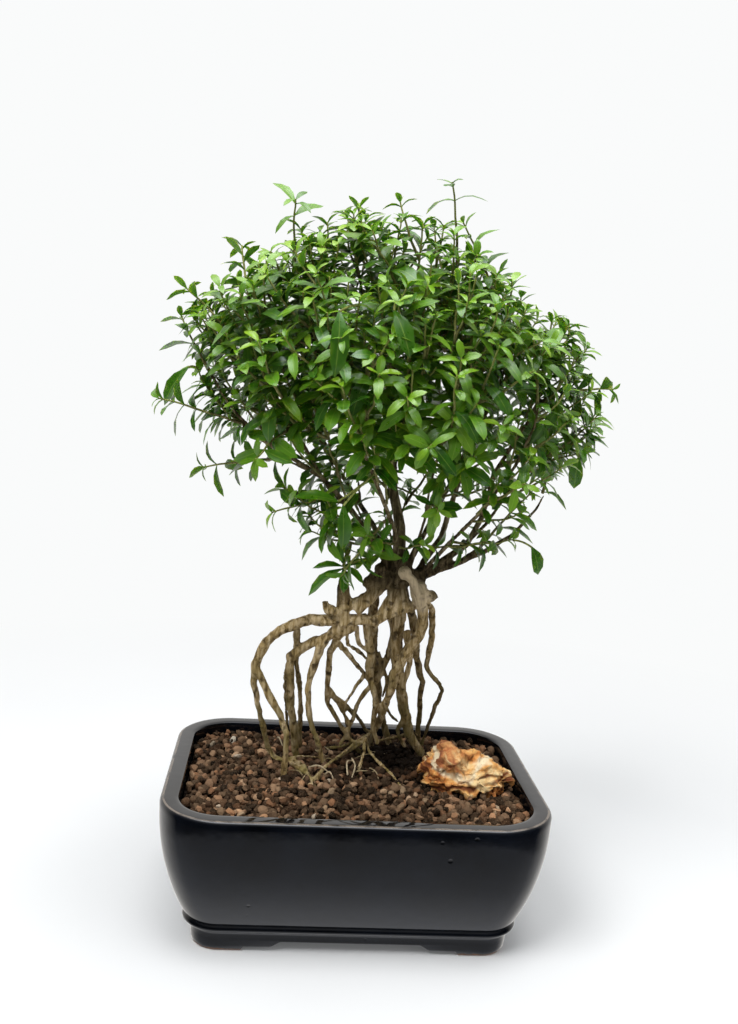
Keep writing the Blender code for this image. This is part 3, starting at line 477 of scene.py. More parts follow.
def glaze_looks():
    """Black glaze, thin and brown on the rim's arris, over clay that stays bare on the soles."""
    looks = Looks("black_glaze", IOR=1.5)
    arris = looks.marks()[0]
    color = looks.ramp(looks.noise(38.0), (0.3, (0.0010, 0.0012, 0.0018)), (0.7, (0.0036, 0.0048, 0.0078)))
    rare = looks.step(looks.noise(31.0, 2.0), 0.555, 0.575)
    pits = looks.times(looks.rest(looks.step(looks.cells(92.0), 0.07, 0.12)), rare)
    color = looks.over(color, (0.0006, 0.0006, 0.0007), pits)
    thin = looks.times(looks.step(arris, 0.45, 0.95), looks.step(looks.noise(120.0), 0.3, 0.55))
    color = looks.over(color, (0.20, 0.165, 0.135), thin, 0.8)
    edge = looks.plus(looks.axis("Z"), looks.times(looks.noise(240.0, 4.0), 0.0022))
    glazed = looks.step(edge, 0.0021, 0.0026)
    clay = looks.ramp(looks.noise(900.0, 4.0), (0.3, (0.10, 0.045, 0.024)), (0.7, (0.23, 0.115, 0.062)))
    color = looks.blend(glazed, clay, color)
    smear = looks.step(looks.noise(70.0, 5.0, 0.65, 0.6), 0.45, 0.75)
    gloss = looks.plus(0.045, looks.times(smear, 0.085))
    dull = looks.calc("MAXIMUM", looks.rest(glazed), looks.times(thin, 0.4))
    ripple = looks.times(looks.noise(230.0, 2.0, 0.4), 0.22)
    looks.bump(0.5, 0.0003, looks.noise(48.0, 3.0, 0.6), ripple, looks.times(pits, -2.5))
    return looks.finish(color, looks.plus(gloss, looks.times(dull, 0.7)))


def screen_looks():
    looks = Looks("screen_plastic", Roughness=0.55)
    grain = looks.noise(1500.0)
    looks.bump(0.4, 0.0001, grain)
    return looks.finish(looks.ramp(grain, (0.3, (0.018, 0.018, 0.018)), (0.7, (0.045, 0.045, 0.045))))


def grain_looks():
    """Baked clay: dark brown and brown, with tan and a few chalky grains, and painted shade under the
    roots.
    """
    looks = Looks("clay_grains", Roughness=0.85, Specular_IOR_Level=0.08)
    tone, spread, _, _ = looks.marks()
    color = looks.ramp(
        tone, (0.0, (0.008, 0.005, 0.003)), (0.25, (0.034, 0.020, 0.012)), (0.50, (0.110, 0.066, 0.039)),
        (0.75, (0.22, 0.131, 0.077)), (0.90, (0.37, 0.228, 0.133)), (0.97, (0.50, 0.34, 0.21)),
        (1.0, (0.70, 0.62, 0.50)),
    )
    dust = looks.step(looks.noise(800.0, 4.0, 0.65), 0.42, 0.8)
    color = looks.over(color, (0.20, 0.130, 0.080), dust, 0.35)
    speck = looks.step(looks.noise(2600.0, 2.0), 0.62, 0.70)
    color = looks.over(color, (0.34, 0.25, 0.17), speck, 0.5)
    shade = looks.ramp(spread, (0.0, (0.66, 0.70, 0.70)), (0.5, (1.0, 1.0, 1.0)), (1.0, (1.15, 0.96, 0.84)))
    color = looks.blend(1.0, color, shade, "MULTIPLY")
    # Painted shade: the grains darken round the spot under the roots, where shade falls.
    color = looks.over(color, (0.009, 0.006, 0.004), looks.around((0.017, 0.018, 0.067), 0.040), 1.5)
    looks.bump(0.7, 0.00035, looks.noise(1400.0, 5.0, 0.65), looks.cells(900.0))
    return looks.finish(color)


def bed_looks():
    looks = Looks("packed_bed", Roughness=0.95, Specular_IOR_Level=0.2)
    crumbs = looks.cells(420.0)
    looks.bump(1.0, 0.0008, crumbs)
    return looks.finish(looks.ramp(crumbs, (0.0, (0.022, 0.013, 0.009)), (0.8, (0.006, 0.004, 0.003))))


def rock_looks():
    """Rust, orange and cream rock, with painted shade in its folds and cracks."""
    looks = Looks("rust_rock", Roughness=0.72, Specular_IOR_Level=0.3)
    fold_shade, cream, rust, _ = looks.marks()
    patches = looks.noise(70.0, 5.0, 0.62, 0.7)
    color = looks.ramp(
        patches, (0.32, (0.40, 0.12, 0.036)), (0.42, (0.76, 0.31, 0.085)), (0.50, (0.98, 0.54, 0.18)),
        (0.60, (0.99, 0.76, 0.40)),
    )
    grain = looks.noise(380.0, 5.0, 0.7)
    color = looks.over(color, (0.78, 0.38, 0.13), looks.step(grain, 0.56, 0.72))
    color = looks.over(color, (0.48, 0.17, 0.08), rust, looks.step(patches, 0.62, 0.40))
    pale = looks.plus(cream, looks.times(looks.noise(150.0, 4.0, 0.65), 0.9))
    color = looks.over(color, (0.99, 0.84, 0.57), looks.step(pale, 0.80, 1.06))
    # Painted shade: dark brown in the rock's creases, cracks and low gaps.
    color = looks.over(color, (0.20, 0.065, 0.025), looks.step(fold_shade, 0.25, 1.0))
    looks.bump(0.8, 0.0006, grain, looks.noise(1500.0))
    return looks.finish(color)


def bark_looks():
    """Bark with lengthwise grain: khaki roots, mossy low down, a dark burl and branches, green tips;
    painted shade in the pits, further back and under the crown.
    """
    looks = Looks("bark", Roughness=0.74, Specular_IOR_Level=0.12)
    youth, depth, pale, _ = looks.marks()
    height = looks.axis("Z")
    grain = looks.noise(1.0, 5.0, 0.55, 0.6, looks.mapped((0, 0, 0), (520.0, 520.0, 85.0)))
    color = looks.ramp(grain, (0.30, (0.080, 0.048, 0.015)), (0.46, (0.34, 0.240, 0.102)),
                       (0.66, (0.66, 0.52, 0.315)))
    blotches = looks.step(looks.noise(75.0, 4.0, 0.6), 0.48, 0.66)
    color = looks.over(color, (0.140, 0.098, 0.048), blotches, 0.42)
    moss = looks.times(looks.step(looks.noise(75.0, 2.0), 0.44, 0.60), looks.step(height, 0.135, 0.066))
    color = looks.over(color, (0.23, 0.195, 0.055), moss, 0.6)
    scars = looks.step(looks.noise(260.0, 3.0, 0.6), 0.62, 0.70)
    color = looks.over(color, (0.050, 0.030, 0.012), scars, 0.3)
    high = looks.step(height, 0.152, 0.166)
    brown = looks.ramp(grain, (0.35, (0.046, 0.033, 0.014)), (0.52, (0.150, 0.115, 0.056)),
                       (0.68, (0.34, 0.28, 0.17)))
    color = looks.over(color, brown, high, looks.rest(pale))
    # Near-black at the trunk's base under the crown: partly the burl's own dark bark, partly painted shade.
    dark = looks.ramp(grain, (0.35, (0.016, 0.010, 0.005)), (0.68, (0.085, 0.058, 0.028)))
    color = looks.over(color, dark, high, looks.step(height, 0.186, 0.172), looks.rest(pale, 0.8))
    # Painted shade: the roots further back are darker.
    color = looks.over(color, (0.085, 0.065, 0.026), looks.step(looks.axis("Y"), 0.002, 0.030), 0.45)
    # Painted shade in the bark's pits.
    color = looks.over(color, (0.040, 0.024, 0.010), depth, 0.85)
    color = looks.over(color, (0.66, 0.54, 0.37), pale, 0.8)
    green = looks.ramp(grain, (0.3, (0.17, 0.19, 0.040)), (0.7, (0.36, 0.39, 0.12)))
    color = looks.over(color, green, youth)
    pores = looks.rest(looks.step(looks.cells(520.0), 0.12, 0.3))
    looks.bump(1.0, 0.0006, grain, pores, looks.noise(1900.0))
    return looks.finish(color)


def leaf_looks():
    """Semi-gloss green: yellower when young, paler on the rib, in mottles and on the underside."""
    looks = Looks("leaf_green", Specular_IOR_Level=0.65, Subsurface_Weight=0.2, Subsurface_Scale=0.0014,
                  Subsurface_Radius=(0.6, 1.0, 0.12))
    across, tone, youth, face = looks.marks()
    old = looks.ramp(tone, (0.0, (0.006, 0.042, 0.001)), (0.45, (0.032, 0.122, 0.003)),
                     (1.0, (0.098, 0.240, 0.012)))
    young = looks.ramp(tone, (0.0, (0.105, 0.265, 0.004)), (1.0, (0.270, 0.440, 0.025)))
    mottle = looks.step(looks.noise(330.0, 4.0, 0.6), 0.35, 0.75)
    color = looks.over(looks.blend(youth, old, young), (0.090, 0.210, 0.018), mottle, 0.25)
    rib = looks.rest(looks.step(across, 0.01, 0.10))
    color = looks.over(color, (0.30, 0.43, 0.07), rib, 0.35)
    color = looks.over(color, (0.170, 0.300, 0.085), looks.rest(face), 0.6)
    looks.bump(0.2, 0.0001, looks.noise(500.0, 2.0), looks.times(rib, -0.6))
    return looks.finish(color, looks.plus(0.27, looks.times(mottle, 0.16)))


def rounded_rectangle(inset, height):
    """The pot's plan outline, moved in from the rim's outer edge."""
    half_x = POT_WIDTH / 2 - inset
    half_y = POT_DEPTH / 2 - inset
    radius = max(RIM_CORNER - inset, LEAST_CORNER)
    ring = []
    for corner, (sx, sy) in enumerate(((1, 1), (-1, 1), (-1, -1), (1, -1))):
        for step in range(CORNER_SEGMENTS + 1):
            angle = math.pi / 2 * (corner + step / CORNER_SEGMENTS)
            ring.append((sx * (half_x - radius) + radius * math.cos(angle),
                         sy * (half_y - radius) + radius * math.sin(angle), height))
    return ring


def circle(radius, height, sides=48):
    turns = [math.tau * k / sides for k in range(sides)]
    return [(radius * math.cos(turn), radius * math.sin(turn), height) for turn in turns]


def side_inset(height):
    """How far the pot's side lies in from the rim's outer edge."""
    top = POT_HEIGHT - RIM_EDGE
    return SIDE_TAPER * max(0.0, (top - height) / (top - SIDE_FOOT)) ** SIDE_BULGE


def loft(name, rings):
    """A closed mesh through rings of equal length."""
    bm = bmesh.new()
    loops = [[bm.verts.new(place(point)) for point in ring] for ring in rings]
    count = len(loops[0])
    for lower, upper in zip(loops, loops[1:]):
        for i in range(count):
            bm.faces.new((lower[i], lower[(i + 1) % count], upper[(i + 1) % count], upper[i]))
    bm.faces.new(reversed(loops[0]))
    bm.faces.new(loops[-1])
    bmesh.ops.recalc_face_normals(bm, faces=bm.faces)
    mesh = bpy.data.meshes.new(name)
    bm.to_mesh(mesh)
    bm.free()
    return make_object(name, mesh)


def bracket_outline(half_sole):
    """The opening between two feet: pad, low ledge, then a curved rise to the apron."""
    pad = half_sole - FOOT_PAD
    ledge = pad - FOOT_LEDGE * half_sole / (POT_WIDTH / 2 - BEAD_AND_FOOT[-1][1])
    climb = APRON_HEIGHT - LEDGE_HEIGHT - 0.2
    half = [(pad, CUT_START), (pad, 0.0), (pad - 0.6, 0.8), (pad - 1.6, LEDGE_HEIGHT)]
    for k in range(OGEE_STEPS + 1):
        share = k / OGEE_STEPS
        rise = (1 - math.cos(math.pi * share)) / 2
        half.append((ledge - FOOT_OGEE * share, LEDGE_HEIGHT + 0.2 + climb * rise))
    return half + [(-across, up) for across, up in reversed(half)]


def prism(name, outline, axis, reach):
    """Pushes an outline, given across and up, to both sides along the X or Y axis."""
    return loft(name, [[(across, side, up) if axis == "Y" else (side, across, up) for across, up in outline]
                       for side in (-reach, reach)])


def make_pot(material):
    outer = [(z, side_inset(z)) for z in SIDE_LEVELS]
    inner = [(z, RIM_WALL + INNER_TAPER * side_inset(z)) for z in INNER_LEVELS]
    profile = [*sorted([*outer, *BEAD_AND_FOOT]), *reversed(RIM_ROLL), *inner, *FLOOR_FILLET]
    pot = loft("fired_pot", [rounded_rectangle(inset, z) for z, inset in profile])
    sole = BEAD_AND_FOOT[-1][1]
    cutters = (
        loft("recess", [rounded_rectangle(sole + FOOT_WALL, z) for z in (CUT_START, UNDERSIDE)]),
        prism("front_bracket", bracket_outline(POT_WIDTH / 2 - sole), "Y", POT_DEPTH),
        prism("side_bracket", bracket_outline(POT_DEPTH / 2 - sole), "X", POT_WIDTH),
        loft("drain", [circle(DRAIN_RADIUS, z) for z in (CUT_START, FLOOR_TOP + 4.0)]),
    )
    for cutter in cutters:
        modify(pot, "BOOLEAN", operation="DIFFERENCE", solver="EXACT", object=cutter)
    modify(pot, "BEVEL", width=SOFTENED_EDGE * MM, segments=2, limit_method="ANGLE",
           angle_limit=math.radians(42))
    apply_modifiers(pot)
    for cutter in cutters:
        bpy.data.objects.remove(cutter)
    arris = [ARRIS[0] < vertex.co.z / MM < ARRIS[1]
             and not inside_pot(*(vertex.co / MM - POT_MIDDLE).xy, ARRIS_MARGIN)
             for vertex in pot.data.vertices]
    keep_marks(pot.data, np.repeat(arris, 4))
    push_out(pot.data, lambda point: GLAZE_WAVE * clamp(point.z / 9.0 - 1.0) * (
        noise.noise(point * 0.035) + 0.5 * noise.noise(point * 0.09)))
    dress(pot, material, "black_glaze", "pot")
    pot.data.set_sharp_from_angle(angle=math.radians(50))


def soil_top(tree, x, y):
    """The packed soil's height near a place: the middle one of seven soundings."""
    found = []
    for k in range(7):
        turn = math.tau * k / 6
        reach = SAMPLE_REACH if k < 6 else 0.0
        start = place((x + reach * math.cos(turn), y + reach * math.sin(turn), POT_HEIGHT + 20))
        hit = tree.ray_cast(start, Vector((0, 0, -1)))[0]
        if hit is not None and hit.z / MM > SOIL_ZONE:
            found.append(hit.z / MM)
    return sorted(found)[len(found) // 2] if found else SOIL_LEVEL + 1.5


def make_bed(material):
    """The packed soil under the loose grains: the node's own shape, sunk at the top."""
    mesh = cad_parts["soil"].data.copy()
    for vertex in mesh.vertices:
        if vertex.co.z > SOIL_ZONE * MM:
            vertex.co.z -= BED_DROP * MM
    dress(make_object("soil_bed", mesh), material, "clay_pellets", "soil", smooth=False)


def inside_pot(x, y, margin):
    """Whether a place lies inside the pot's inner outline by a margin."""
    half_x = POT_WIDTH / 2 - RIM_WALL - margin
    half_y = POT_DEPTH / 2 - RIM_WALL - margin
    radius = RIM_CORNER - RIM_WALL - margin
    over_x = max(abs(x) - (half_x - radius), 0.0)
    over_y = max(abs(y) - (half_y - radius), 0.0)
    return abs(x) < half_x and abs(y) < half_y and math.hypot(over_x, over_y) < radius


def unit_ball(subdivisions):
    bm = bmesh.new()
    bmesh.ops.create_icosphere(bm, subdivisions=subdivisions, radius=1.0)
    points = np.array([tuple(v.co) for v in bm.verts])
    faces = [tuple(v.index for v in f.verts) for f in bm.faces]
    bm.free()
    return points, faces


def make_grains(material, tree):
    """Loose clay grains in jittered layers and a few scattered ones, each with its own chipped corners."""
    rng = np.random.default_rng(SEED)
    balls = (unit_ball(1), unit_ball(2))
    spots = []
    row = GRAIN_PITCH * math.sqrt(3) / 2
    for layer, drop in enumerate(GRAIN_LAYERS):
        for j in range(int(-POT_DEPTH / row), int(POT_DEPTH / row)):
            for i in range(int(-POT_WIDTH / GRAIN_PITCH), int(POT_WIDTH / GRAIN_PITCH)):
                x = (i + (j % 2) / 2 + LAYER_SHIFT * layer) * GRAIN_PITCH
                x += rng.uniform(-GRAIN_JITTER, GRAIN_JITTER)
                y = (j + LAYER_SHIFT * layer) * row + rng.uniform(-GRAIN_JITTER, GRAIN_JITTER)
                lift = drop + rng.uniform(-GRAIN_LIFT, GRAIN_LIFT)
                size = rng.uniform(*GRAIN_SIZE) * rng.choice(SIZE_CLASSES)
                if inside_pot(x, y, GRAIN_EDGE + 0.4):
                    spots.append((x, y, soil_top(tree, x, y) + lift, size, layer))
    for _ in range(SCATTERED_GRAINS):
        x, y = rng.uniform(-POT_WIDTH / 2, POT_WIDTH / 2), rng.uniform(-POT_DEPTH / 2, POT_DEPTH / 2)
        size = rng.uniform(*SCATTERED_SIZE)
        if inside_pot(x, y, GRAIN_EDGE + 1.0):
            spots.append((x, y, soil_top(tree, x, y) + SCATTERED_LIFT, size, 1))
    halves = ([], [])
    for spot in spots:
        halves[spot[1] > 0].append(spot)
    for name, chosen in zip(("grains_front", "grains_back"), halves):
        points, faces, marks = [], [], []
        first = 0
        for x, y, z, size, layer in chosen:
            ball, ball_faces = balls[layer]
            turn = Matrix.Rotation(rng.uniform(0, math.tau), 3, Vector(rng.normal(size=3)).normalized())
            chips = rng.normal(size=(GRAIN_CHIPS, 3))
            chips /= np.linalg.norm(chips, axis=1)[:, None]
            depth = rng.uniform(*CHIP_DEPTHS, size=GRAIN_CHIPS)
            reach = np.where(ball @ chips.T > 0.05, depth / np.maximum(ball @ chips.T, 0.05), 9.0)
            shape = ball * np.minimum(1.05, reach.min(axis=1))[:, None]
            shape *= size * 1.2 * np.array([1.0, rng.uniform(0.74, 1.0), rng.uniform(0.58, 0.9)])
            points.append(shape @ np.array(turn) + np.array([x, y, z]))
            faces += [tuple(first + v for v in face) for face in ball_faces]
            first += len(ball)
            tone = rng.beta(*GRAIN_TONES)
            marks.append(np.tile([tone, rng.uniform(), 0.0, 1.0], (len(ball), 1)))
        mesh = mesh_from_arrays(name, np.concatenate(points), faces, np.concatenate(marks))
        grains = dress(make_object(name, mesh), material, "clay_pellets")
        grains.data.set_sharp_from_angle(angle=math.radians(38))


def make_rock(material):
    """The rock's own solid, made finer, narrower and blockier, then folded and crinkled."""
    rock = make_object("quartz_rock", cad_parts["stone"].data.copy())
    modify(rock, "WELD", merge_threshold=0.01 * MM)
    modify(rock, "SUBSURF", subdivision_type="SIMPLE", levels=3, render_levels=3)
    apply_modifiers(rock)
    modify(rock, "SMOOTH", iterations=6)
    apply_modifiers(rock)
    spots = in_mm(rock.data)
    low, high = spots.min(axis=0), spots.max(axis=0)
    middle, half = (low + high) / 2, (high - low) / 2
    for vertex, spot in zip(rock.data.vertices, spots):
        share = (spot - middle) / half
        size = max(np.linalg.norm(share), 0.001)
        square = np.abs(share / size).max()
        stretch = (1 / square) ** ROCK_SQUARENESS
        share[0] *= ROCK_NARROWING
        blocky = share * half * (1 + (stretch - 1) * min(1.0, size) * 0.9)
        vertex.co = place(middle + blocky + np.array(ROCK_SHIFT))
    stripe_height, slope, half_width = ROCK_STRIPE
    marks = []

    def facets(point, scale, tilt):
        """Flat faces that meet at sharp steps: each cell is a plane with its own tilt."""
        (near, next_one), (cell, *_) = (part[:2] for part in noise.voronoi(point * scale))
        lean = noise.cell_vector(cell * 31.0) * 2 - Vector((1, 1, 1))
        return lean.dot(point * scale - cell) * tilt, max(0.0, 1.0 - (next_one - near) * 7.0)

    def crag(point):
        """How far the rock bulges at a point. It keeps the point's marks: painted shade in the folds, cream
        and rust.
        """
        mark = point - POT_MIDDLE
        large, crease = facets(point, *ROCK_FACES[0])
        small, crack = facets(point + PIT_SHIFT, *ROCK_FACES[1])
        crumble = noise.fractal(point * 0.45, 0.8, 2.1, 5)
        layers = noise.noise(Vector((point.x * 0.06, point.y * 0.06, point.z * 0.5)))
        wavy = 7.0 * noise.noise(point * 0.06 + PIT_SHIFT)
        rise = stripe_height + slope * (mark.x - middle[0]) + wavy
        below = clamp((rise - mark.z) / 4.0)
        stripe = 1.0 - abs(mark.z - rise) / (half_width * (1.0 + noise.noise(point * 0.2)))
        # Painted shade: the creases, cracks and gaps under the layers, darkened in the looks.
        fold_shade = crease * 0.5 + crack * 0.4 + below * max(0.0, -layers * 2.2)
        rust = clamp((mark.z - rise) / 4.0) * clamp((middle[0] + 2 - mark.x) / 8.0)
        marks.append((min(1.0, fold_shade), max(0.0, stripe) * 0.7, rust, 1.0))
        return large + small + crumble * 0.8 - crease * 0.5 + layers * below * 1.6 - 0.3

    push_out(rock.data, crag)
    keep_marks(rock.data, marks)
    dress(rock, material, "rust_quartz", "stone")


def sweep(points, radii, sides=8):
    """Vertices and faces of a closed tube along millimetre points."""
    vertices, faces = [], []
    side = None
    last = len(points) - 1
    for index, point in enumerate(points):
        way = (points[min(index + 1, last)] - points[max(index - 1, 0)]).normalized()
        side = way.orthogonal() if side is None else side - way * side.dot(way)
        side.normalize()
        other = way.cross(side)
        for k in range(sides):
            angle = math.tau * k / sides
            vertices.append(point + (side * math.cos(angle) + other * math.sin(angle)) * radii[index])
    for ring in range(last):
        for k in range(sides):
            a, b = ring * sides + k, ring * sides + (k + 1) % sides
            faces.append((a, b, b + sides, a + sides))
    faces.append(tuple(reversed(range(sides))))
    faces.append(tuple(last * sides + k for k in range(sides)))
    return vertices, faces


def bend(start, control, end, count):
    """Points on a curve that leaves its start towards a control point and ends at its end."""
    curve = []
    for k in range(count + 1):
        t = k / count
        curve.append((1 - t) ** 2 * start + 2 * t * (1 - t) * control + t * t * end)
    return curve


def tapered(route, start, end):
    """A smooth line through the points of a route, and its radii from start to end."""
    spots = [Vector(point) for point in route]
    spots = [spots[0] * 2 - spots[1], *spots, spots[-1] * 2 - spots[-2]]
    line = []
    for a, b, c, d in zip(spots, spots[1:], spots[2:], spots[3:]):
        for k in range(4):
            t = k / 4
            line.append(0.5 * (2 * b + (c - a) * t + (2 * a - 5 * b + 4 * c - d) * t ** 2
                               + (3 * b - a - 3 * c + d) * t ** 3))
    line.append(spots[-2])
    return line, [start + (end - start) * k / (len(line) - 1) for k in range(len(line))]


def lay_low(point):
    """0 in the soil and at the trunk base, 1 midway up the exposed roots."""
    share = (point.z - SOIL_LEVEL - 2) / (BASE_LEVEL - SOIL_LEVEL)
    return clamp(min(4 * share, 5 * (1 - share)))


def regrow(material):
    """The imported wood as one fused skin: rounded, wavy and knotted, with its stubs."""
    bm = bmesh.new()
    bm.from_mesh(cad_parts["trunk_and_roots"].data)
    tubes = [sweep(*tapered(route, start, end)) for route, start, end in FINE_ROOTS]
    ball, ball_faces = unit_ball(2)
    tubes += [([Vector(middle) + Vector(point) * radius for point in ball], ball_faces)
              for middle, radius in KNOBS]
    for vertices, faces in tubes:
        made = [bm.verts.new(place(point)) for point in vertices]
        for face in faces:
            bm.faces.new([made[index] for index in face])
    mesh = bpy.data.meshes.new("knotted_wood")
    bm.to_mesh(mesh)
    bm.free()
    wood = make_object("knotted_wood", mesh)
    modify(wood, "REMESH", mode="VOXEL", voxel_size=WOOD_VOXEL * MM)
    modify(wood, "SMOOTH", iterations=6)
    apply_modifiers(wood)
    depths = []

    def bark_relief(point):
        """How far the bark swells at a point: more on the roots, less low down and round the burl."""
        thick = clamp((BASE_LEVEL + 14 - point.z) / 24)
        knots = noise.noise(point * 0.16)
        ribs = noise.noise(Vector((point.x * 0.5, point.y * 0.5, point.z * 0.12)))
        pits = min(0.0, noise.noise(point * 0.42 + PIT_SHIFT) + 0.25)
        # The pits' depth, kept as a mark for painted shade in them.
        depths.append(min(1.0, -pits * 3.5) * thick)
        swell = SWELL[1] + (SWELL[0] - SWELL[1]) * thick
        swell -= 0.45 * clamp((125 - point.z) / 40)
        swell -= 0.9 * math.exp(-((point.z - 166) / 7) ** 2)
        return swell + (0.42 * knots + 0.30 * ribs + 0.8 * pits) * (0.3 + 0.7 * thick)

    push_out(wood.data, bark_relief)
    for vertex in wood.data.vertices:
        point = vertex.co / MM
        sway = noise.noise_vector(point * 0.055) * 1.5 + noise.noise_vector(point * 0.17) * 0.5
        vertex.co += sway * lay_low(point) * MM
    spots = in_mm(wood.data)
    gaps = np.min([np.linalg.norm(spots - np.array(knob), axis=1) for knob in PALE_STUB], axis=0)
    pale = np.clip(2.0 - gaps / PALE_REACH, 0.0, 0.6)
    none = np.zeros(len(depths))
    keep_marks(wood.data, np.stack([none, depths, pale, none], axis=1))
    modify(wood, "DECIMATE", ratio=WOOD_TRIANGLES / (2 * len(wood.data.polygons)))
    apply_modifiers(wood)
    return dress(wood, material, "bark", "trunk_and_roots")


class Foliage:
    """Stems and leaves gathered into one mesh."""

    def __init__(self):
        self.points = []
        self.faces = []
        self.marks = []
        self.leaves = []

    def stem(self, points, radii, youths, pale=0.0):
        first = len(self.points)
        vertices, faces = sweep(points, radii, STEM_SIDES)
        self.points += [tuple(vertex) for vertex in vertices]
        self.faces += [tuple(first + index for index in face) for face in faces]
        for youth in youths:
            self.marks += [(youth, 0.0, pale, 1.0)] * STEM_SIDES

    def leaf(self, *blade):
        self.leaves.append(blade)


def width_at(share):
    """A leaf's half width along its length, as a share of its widest: lance-shaped, on a short stalk."""
    blade = max(0.0, (share - 0.04) / 0.96)
    return max(0.09, 2.60 * blade ** 0.80 * (1 - blade) ** 0.60) if share < 1.0 else 0.02


def leaf_mesh(name, leaves):
    """All leaves as closed thin blades, worked out together.

    A leaf is its base, direction, upper side, length, width, droop, fold, twist, tone and youth.
    """
    base, along, up = (np.array([tuple(leaf[k]) for leaf in leaves]) for k in range(3))
    length, width, droop, fold, twist, tone, youth = (
        np.array([leaf[k] for leaf in leaves], dtype=float) for k in range(3, 10))
    across = np.cross(along, up)
    across /= np.linalg.norm(across, axis=1)[:, None]
    count = len(leaves)
    points, marks = [], []

    def keep(point, column, face):
        points.append(point)
        marks.append(np.stack([np.full(count, abs(column)), tone, youth, np.full(count, face)], 1))

    for share in LEAF_STATIONS:
        half = width / 2 * width_at(share)
        turned = twist * share
        cosine, sine = np.cos(turned)[:, None], np.sin(turned)[:, None]
        side = across * cosine + up * sine
        upper = up * cosine - across * sine
        rib = base + along * (length * (share - 0.25 * (droop / length) ** 2 * share ** 3))[:, None]
        rib = rib - up * (droop * share ** 2)[:, None]
        for column in LEAF_COLUMNS:
            wave = 0.12 * half * column ** 2 * math.sin(7 * share + 3 * column + 1.0)
            lift = abs(column) * half * fold - 0.26 * half * column ** 2 + wave
            keep(rib + side * (half * column)[:, None] + upper * lift[:, None], column, 1.0)
        keep(rib - upper * LEAF_THICKNESS * min(1.0, 1.25 - share), 0.0, 0.0)
    wide = len(LEAF_COLUMNS) + 1
    last = (len(LEAF_STATIONS) - 1) * wide
    faces = [(5, 2, 1, 0), (5, 4, 3, 2), (last, last + 1, last + 2, last + 5),
             (last + 2, last + 3, last + 4, last + 5)]
    for row in range(0, last, wide):
        for column in range(4):
            a = row + column
            faces.append((a, a + 1, a + 1 + wide, a + wide))
        for left, right in ((0, 5), (5, 4)):
            faces.append((row + right, row + left, row + left + wide, row + right + wide))
    each = wide * len(LEAF_STATIONS)
    every = [tuple(index + each * leaf for index in face) for leaf in range(count) for face in faces]
    mesh = mesh_from_arrays(name, np.stack(points, axis=1).reshape(-1, 3), every,
                            np.stack(marks, axis=1).reshape(-1, 4))
    mesh.shade_smooth()
    mesh.set_sharp_from_angle(angle=math.radians(70))
    return mesh


def crown_row(z):
    """The crown's middle and half width at a height."""
    for (z0, l0, r0), (z1, l1, r1) in zip(CROWN_ROWS, CROWN_ROWS[1:]):
        if z <= z1:
            break
    share = (z - z0) / (z1 - z0)
    left, right = l0 + (l1 - l0) * share, r0 + (r1 - r0) * share
    return (left + right) / 2, (right - left) / 2


def in_cad_box(point):
    """Whether a point lies inside the solids' box by a margin."""
    low, high = CAD_BOX
    spot = place(point)
    return all(low[i] + BOX_MARGIN * MM < spot[i] < high[i] - BOX_MARGIN * MM for i in range(3))


def squared(up, along):
    """An upper side turned square to a direction."""
    return (up - along * up.dot(along)).normalized()


def leaf_pairs(points, rng, leafy):
    """Where pairs of leaves stand down from the tip, the stem's direction there and the way down."""
    pairs = []
    distance = FIRST_PAIR
    run = 0.0
    for a, b in zip(reversed(points[1:]), reversed(points[:-1])):
        step = (b - a).length
        while run + step >= distance and distance <= leafy:
            spot = a + (b - a) * ((distance - run) / step)
            pairs.append((spot, (a - b).normalized(), distance))
            distance += TIP_GAP if distance < 1 else rng.uniform(*PAIR_GAPS)
        run += step
    return pairs


def add_leaves(foliage, points, rng, leafy, crest):
    """Opposite leaves in crossed pairs down from a stem's tip, larger and flatter further from it.

    On a crest, a shoot at the crown's top, they are larger at the tip, less young and less upright.
    """
    turn = rng.uniform(0, math.pi)
    for spot, way, run in leaf_pairs(points, rng, leafy):
        turn += math.pi / 2 + rng.uniform(-0.25, 0.25)
        side = way.orthogonal().normalized()
        other = way.cross(side)
        youth = clamp(1.0 - run / 11.0) * rng.uniform(0.3, 1.0)
        youth = min(1.0, youth + max(0.0, (spot.z - 270) / 260) * rng.random())
        growth = min(1.0, (TALL_TIP_SIZE if crest else TIP_SIZE) + run / 14.0)
        if crest:
            youth *= TALL_YOUTH
        if spot.z < 222 and spot.x > 0:
            growth *= 0.82
        for half_turn in (0.0, math.pi):
            if run > 12 and rng.random() < 0.12:
                continue
            angle = turn + half_turn + rng.uniform(-0.2, 0.2)
            out = side * math.cos(angle) + other * math.sin(angle)
            lift = math.radians(rng.uniform(*(TIP_LIFTS if run < 3 else LEAF_LIFTS)))
            if crest:
                lift *= 0.7
            along = out * math.cos(lift) + way * math.sin(lift)
            up = way * math.cos(lift) - out * math.sin(lift)
            up = up + 0.55 * (LEAF_LIGHT - along * LEAF_LIGHT.dot(along))
            length = rng.uniform(*LEAF_LENGTHS) * growth
            if rng.random() < 0.05 and run > 5:
                length *= 1.35
            if not in_cad_box(spot + along * length):
                length *= 0.6
                if not in_cad_box(spot + along * length):
                    continue
            foliage.leaf(spot, along, squared(up, along), length,
                         length * LEAF_WIDTH * rng.uniform(0.8, 1.2), length * rng.uniform(*LEAF_DROOPS),
                         rng.uniform(*LEAF_FOLDS), rng.uniform(-0.5, 0.5), rng.random(), youth)


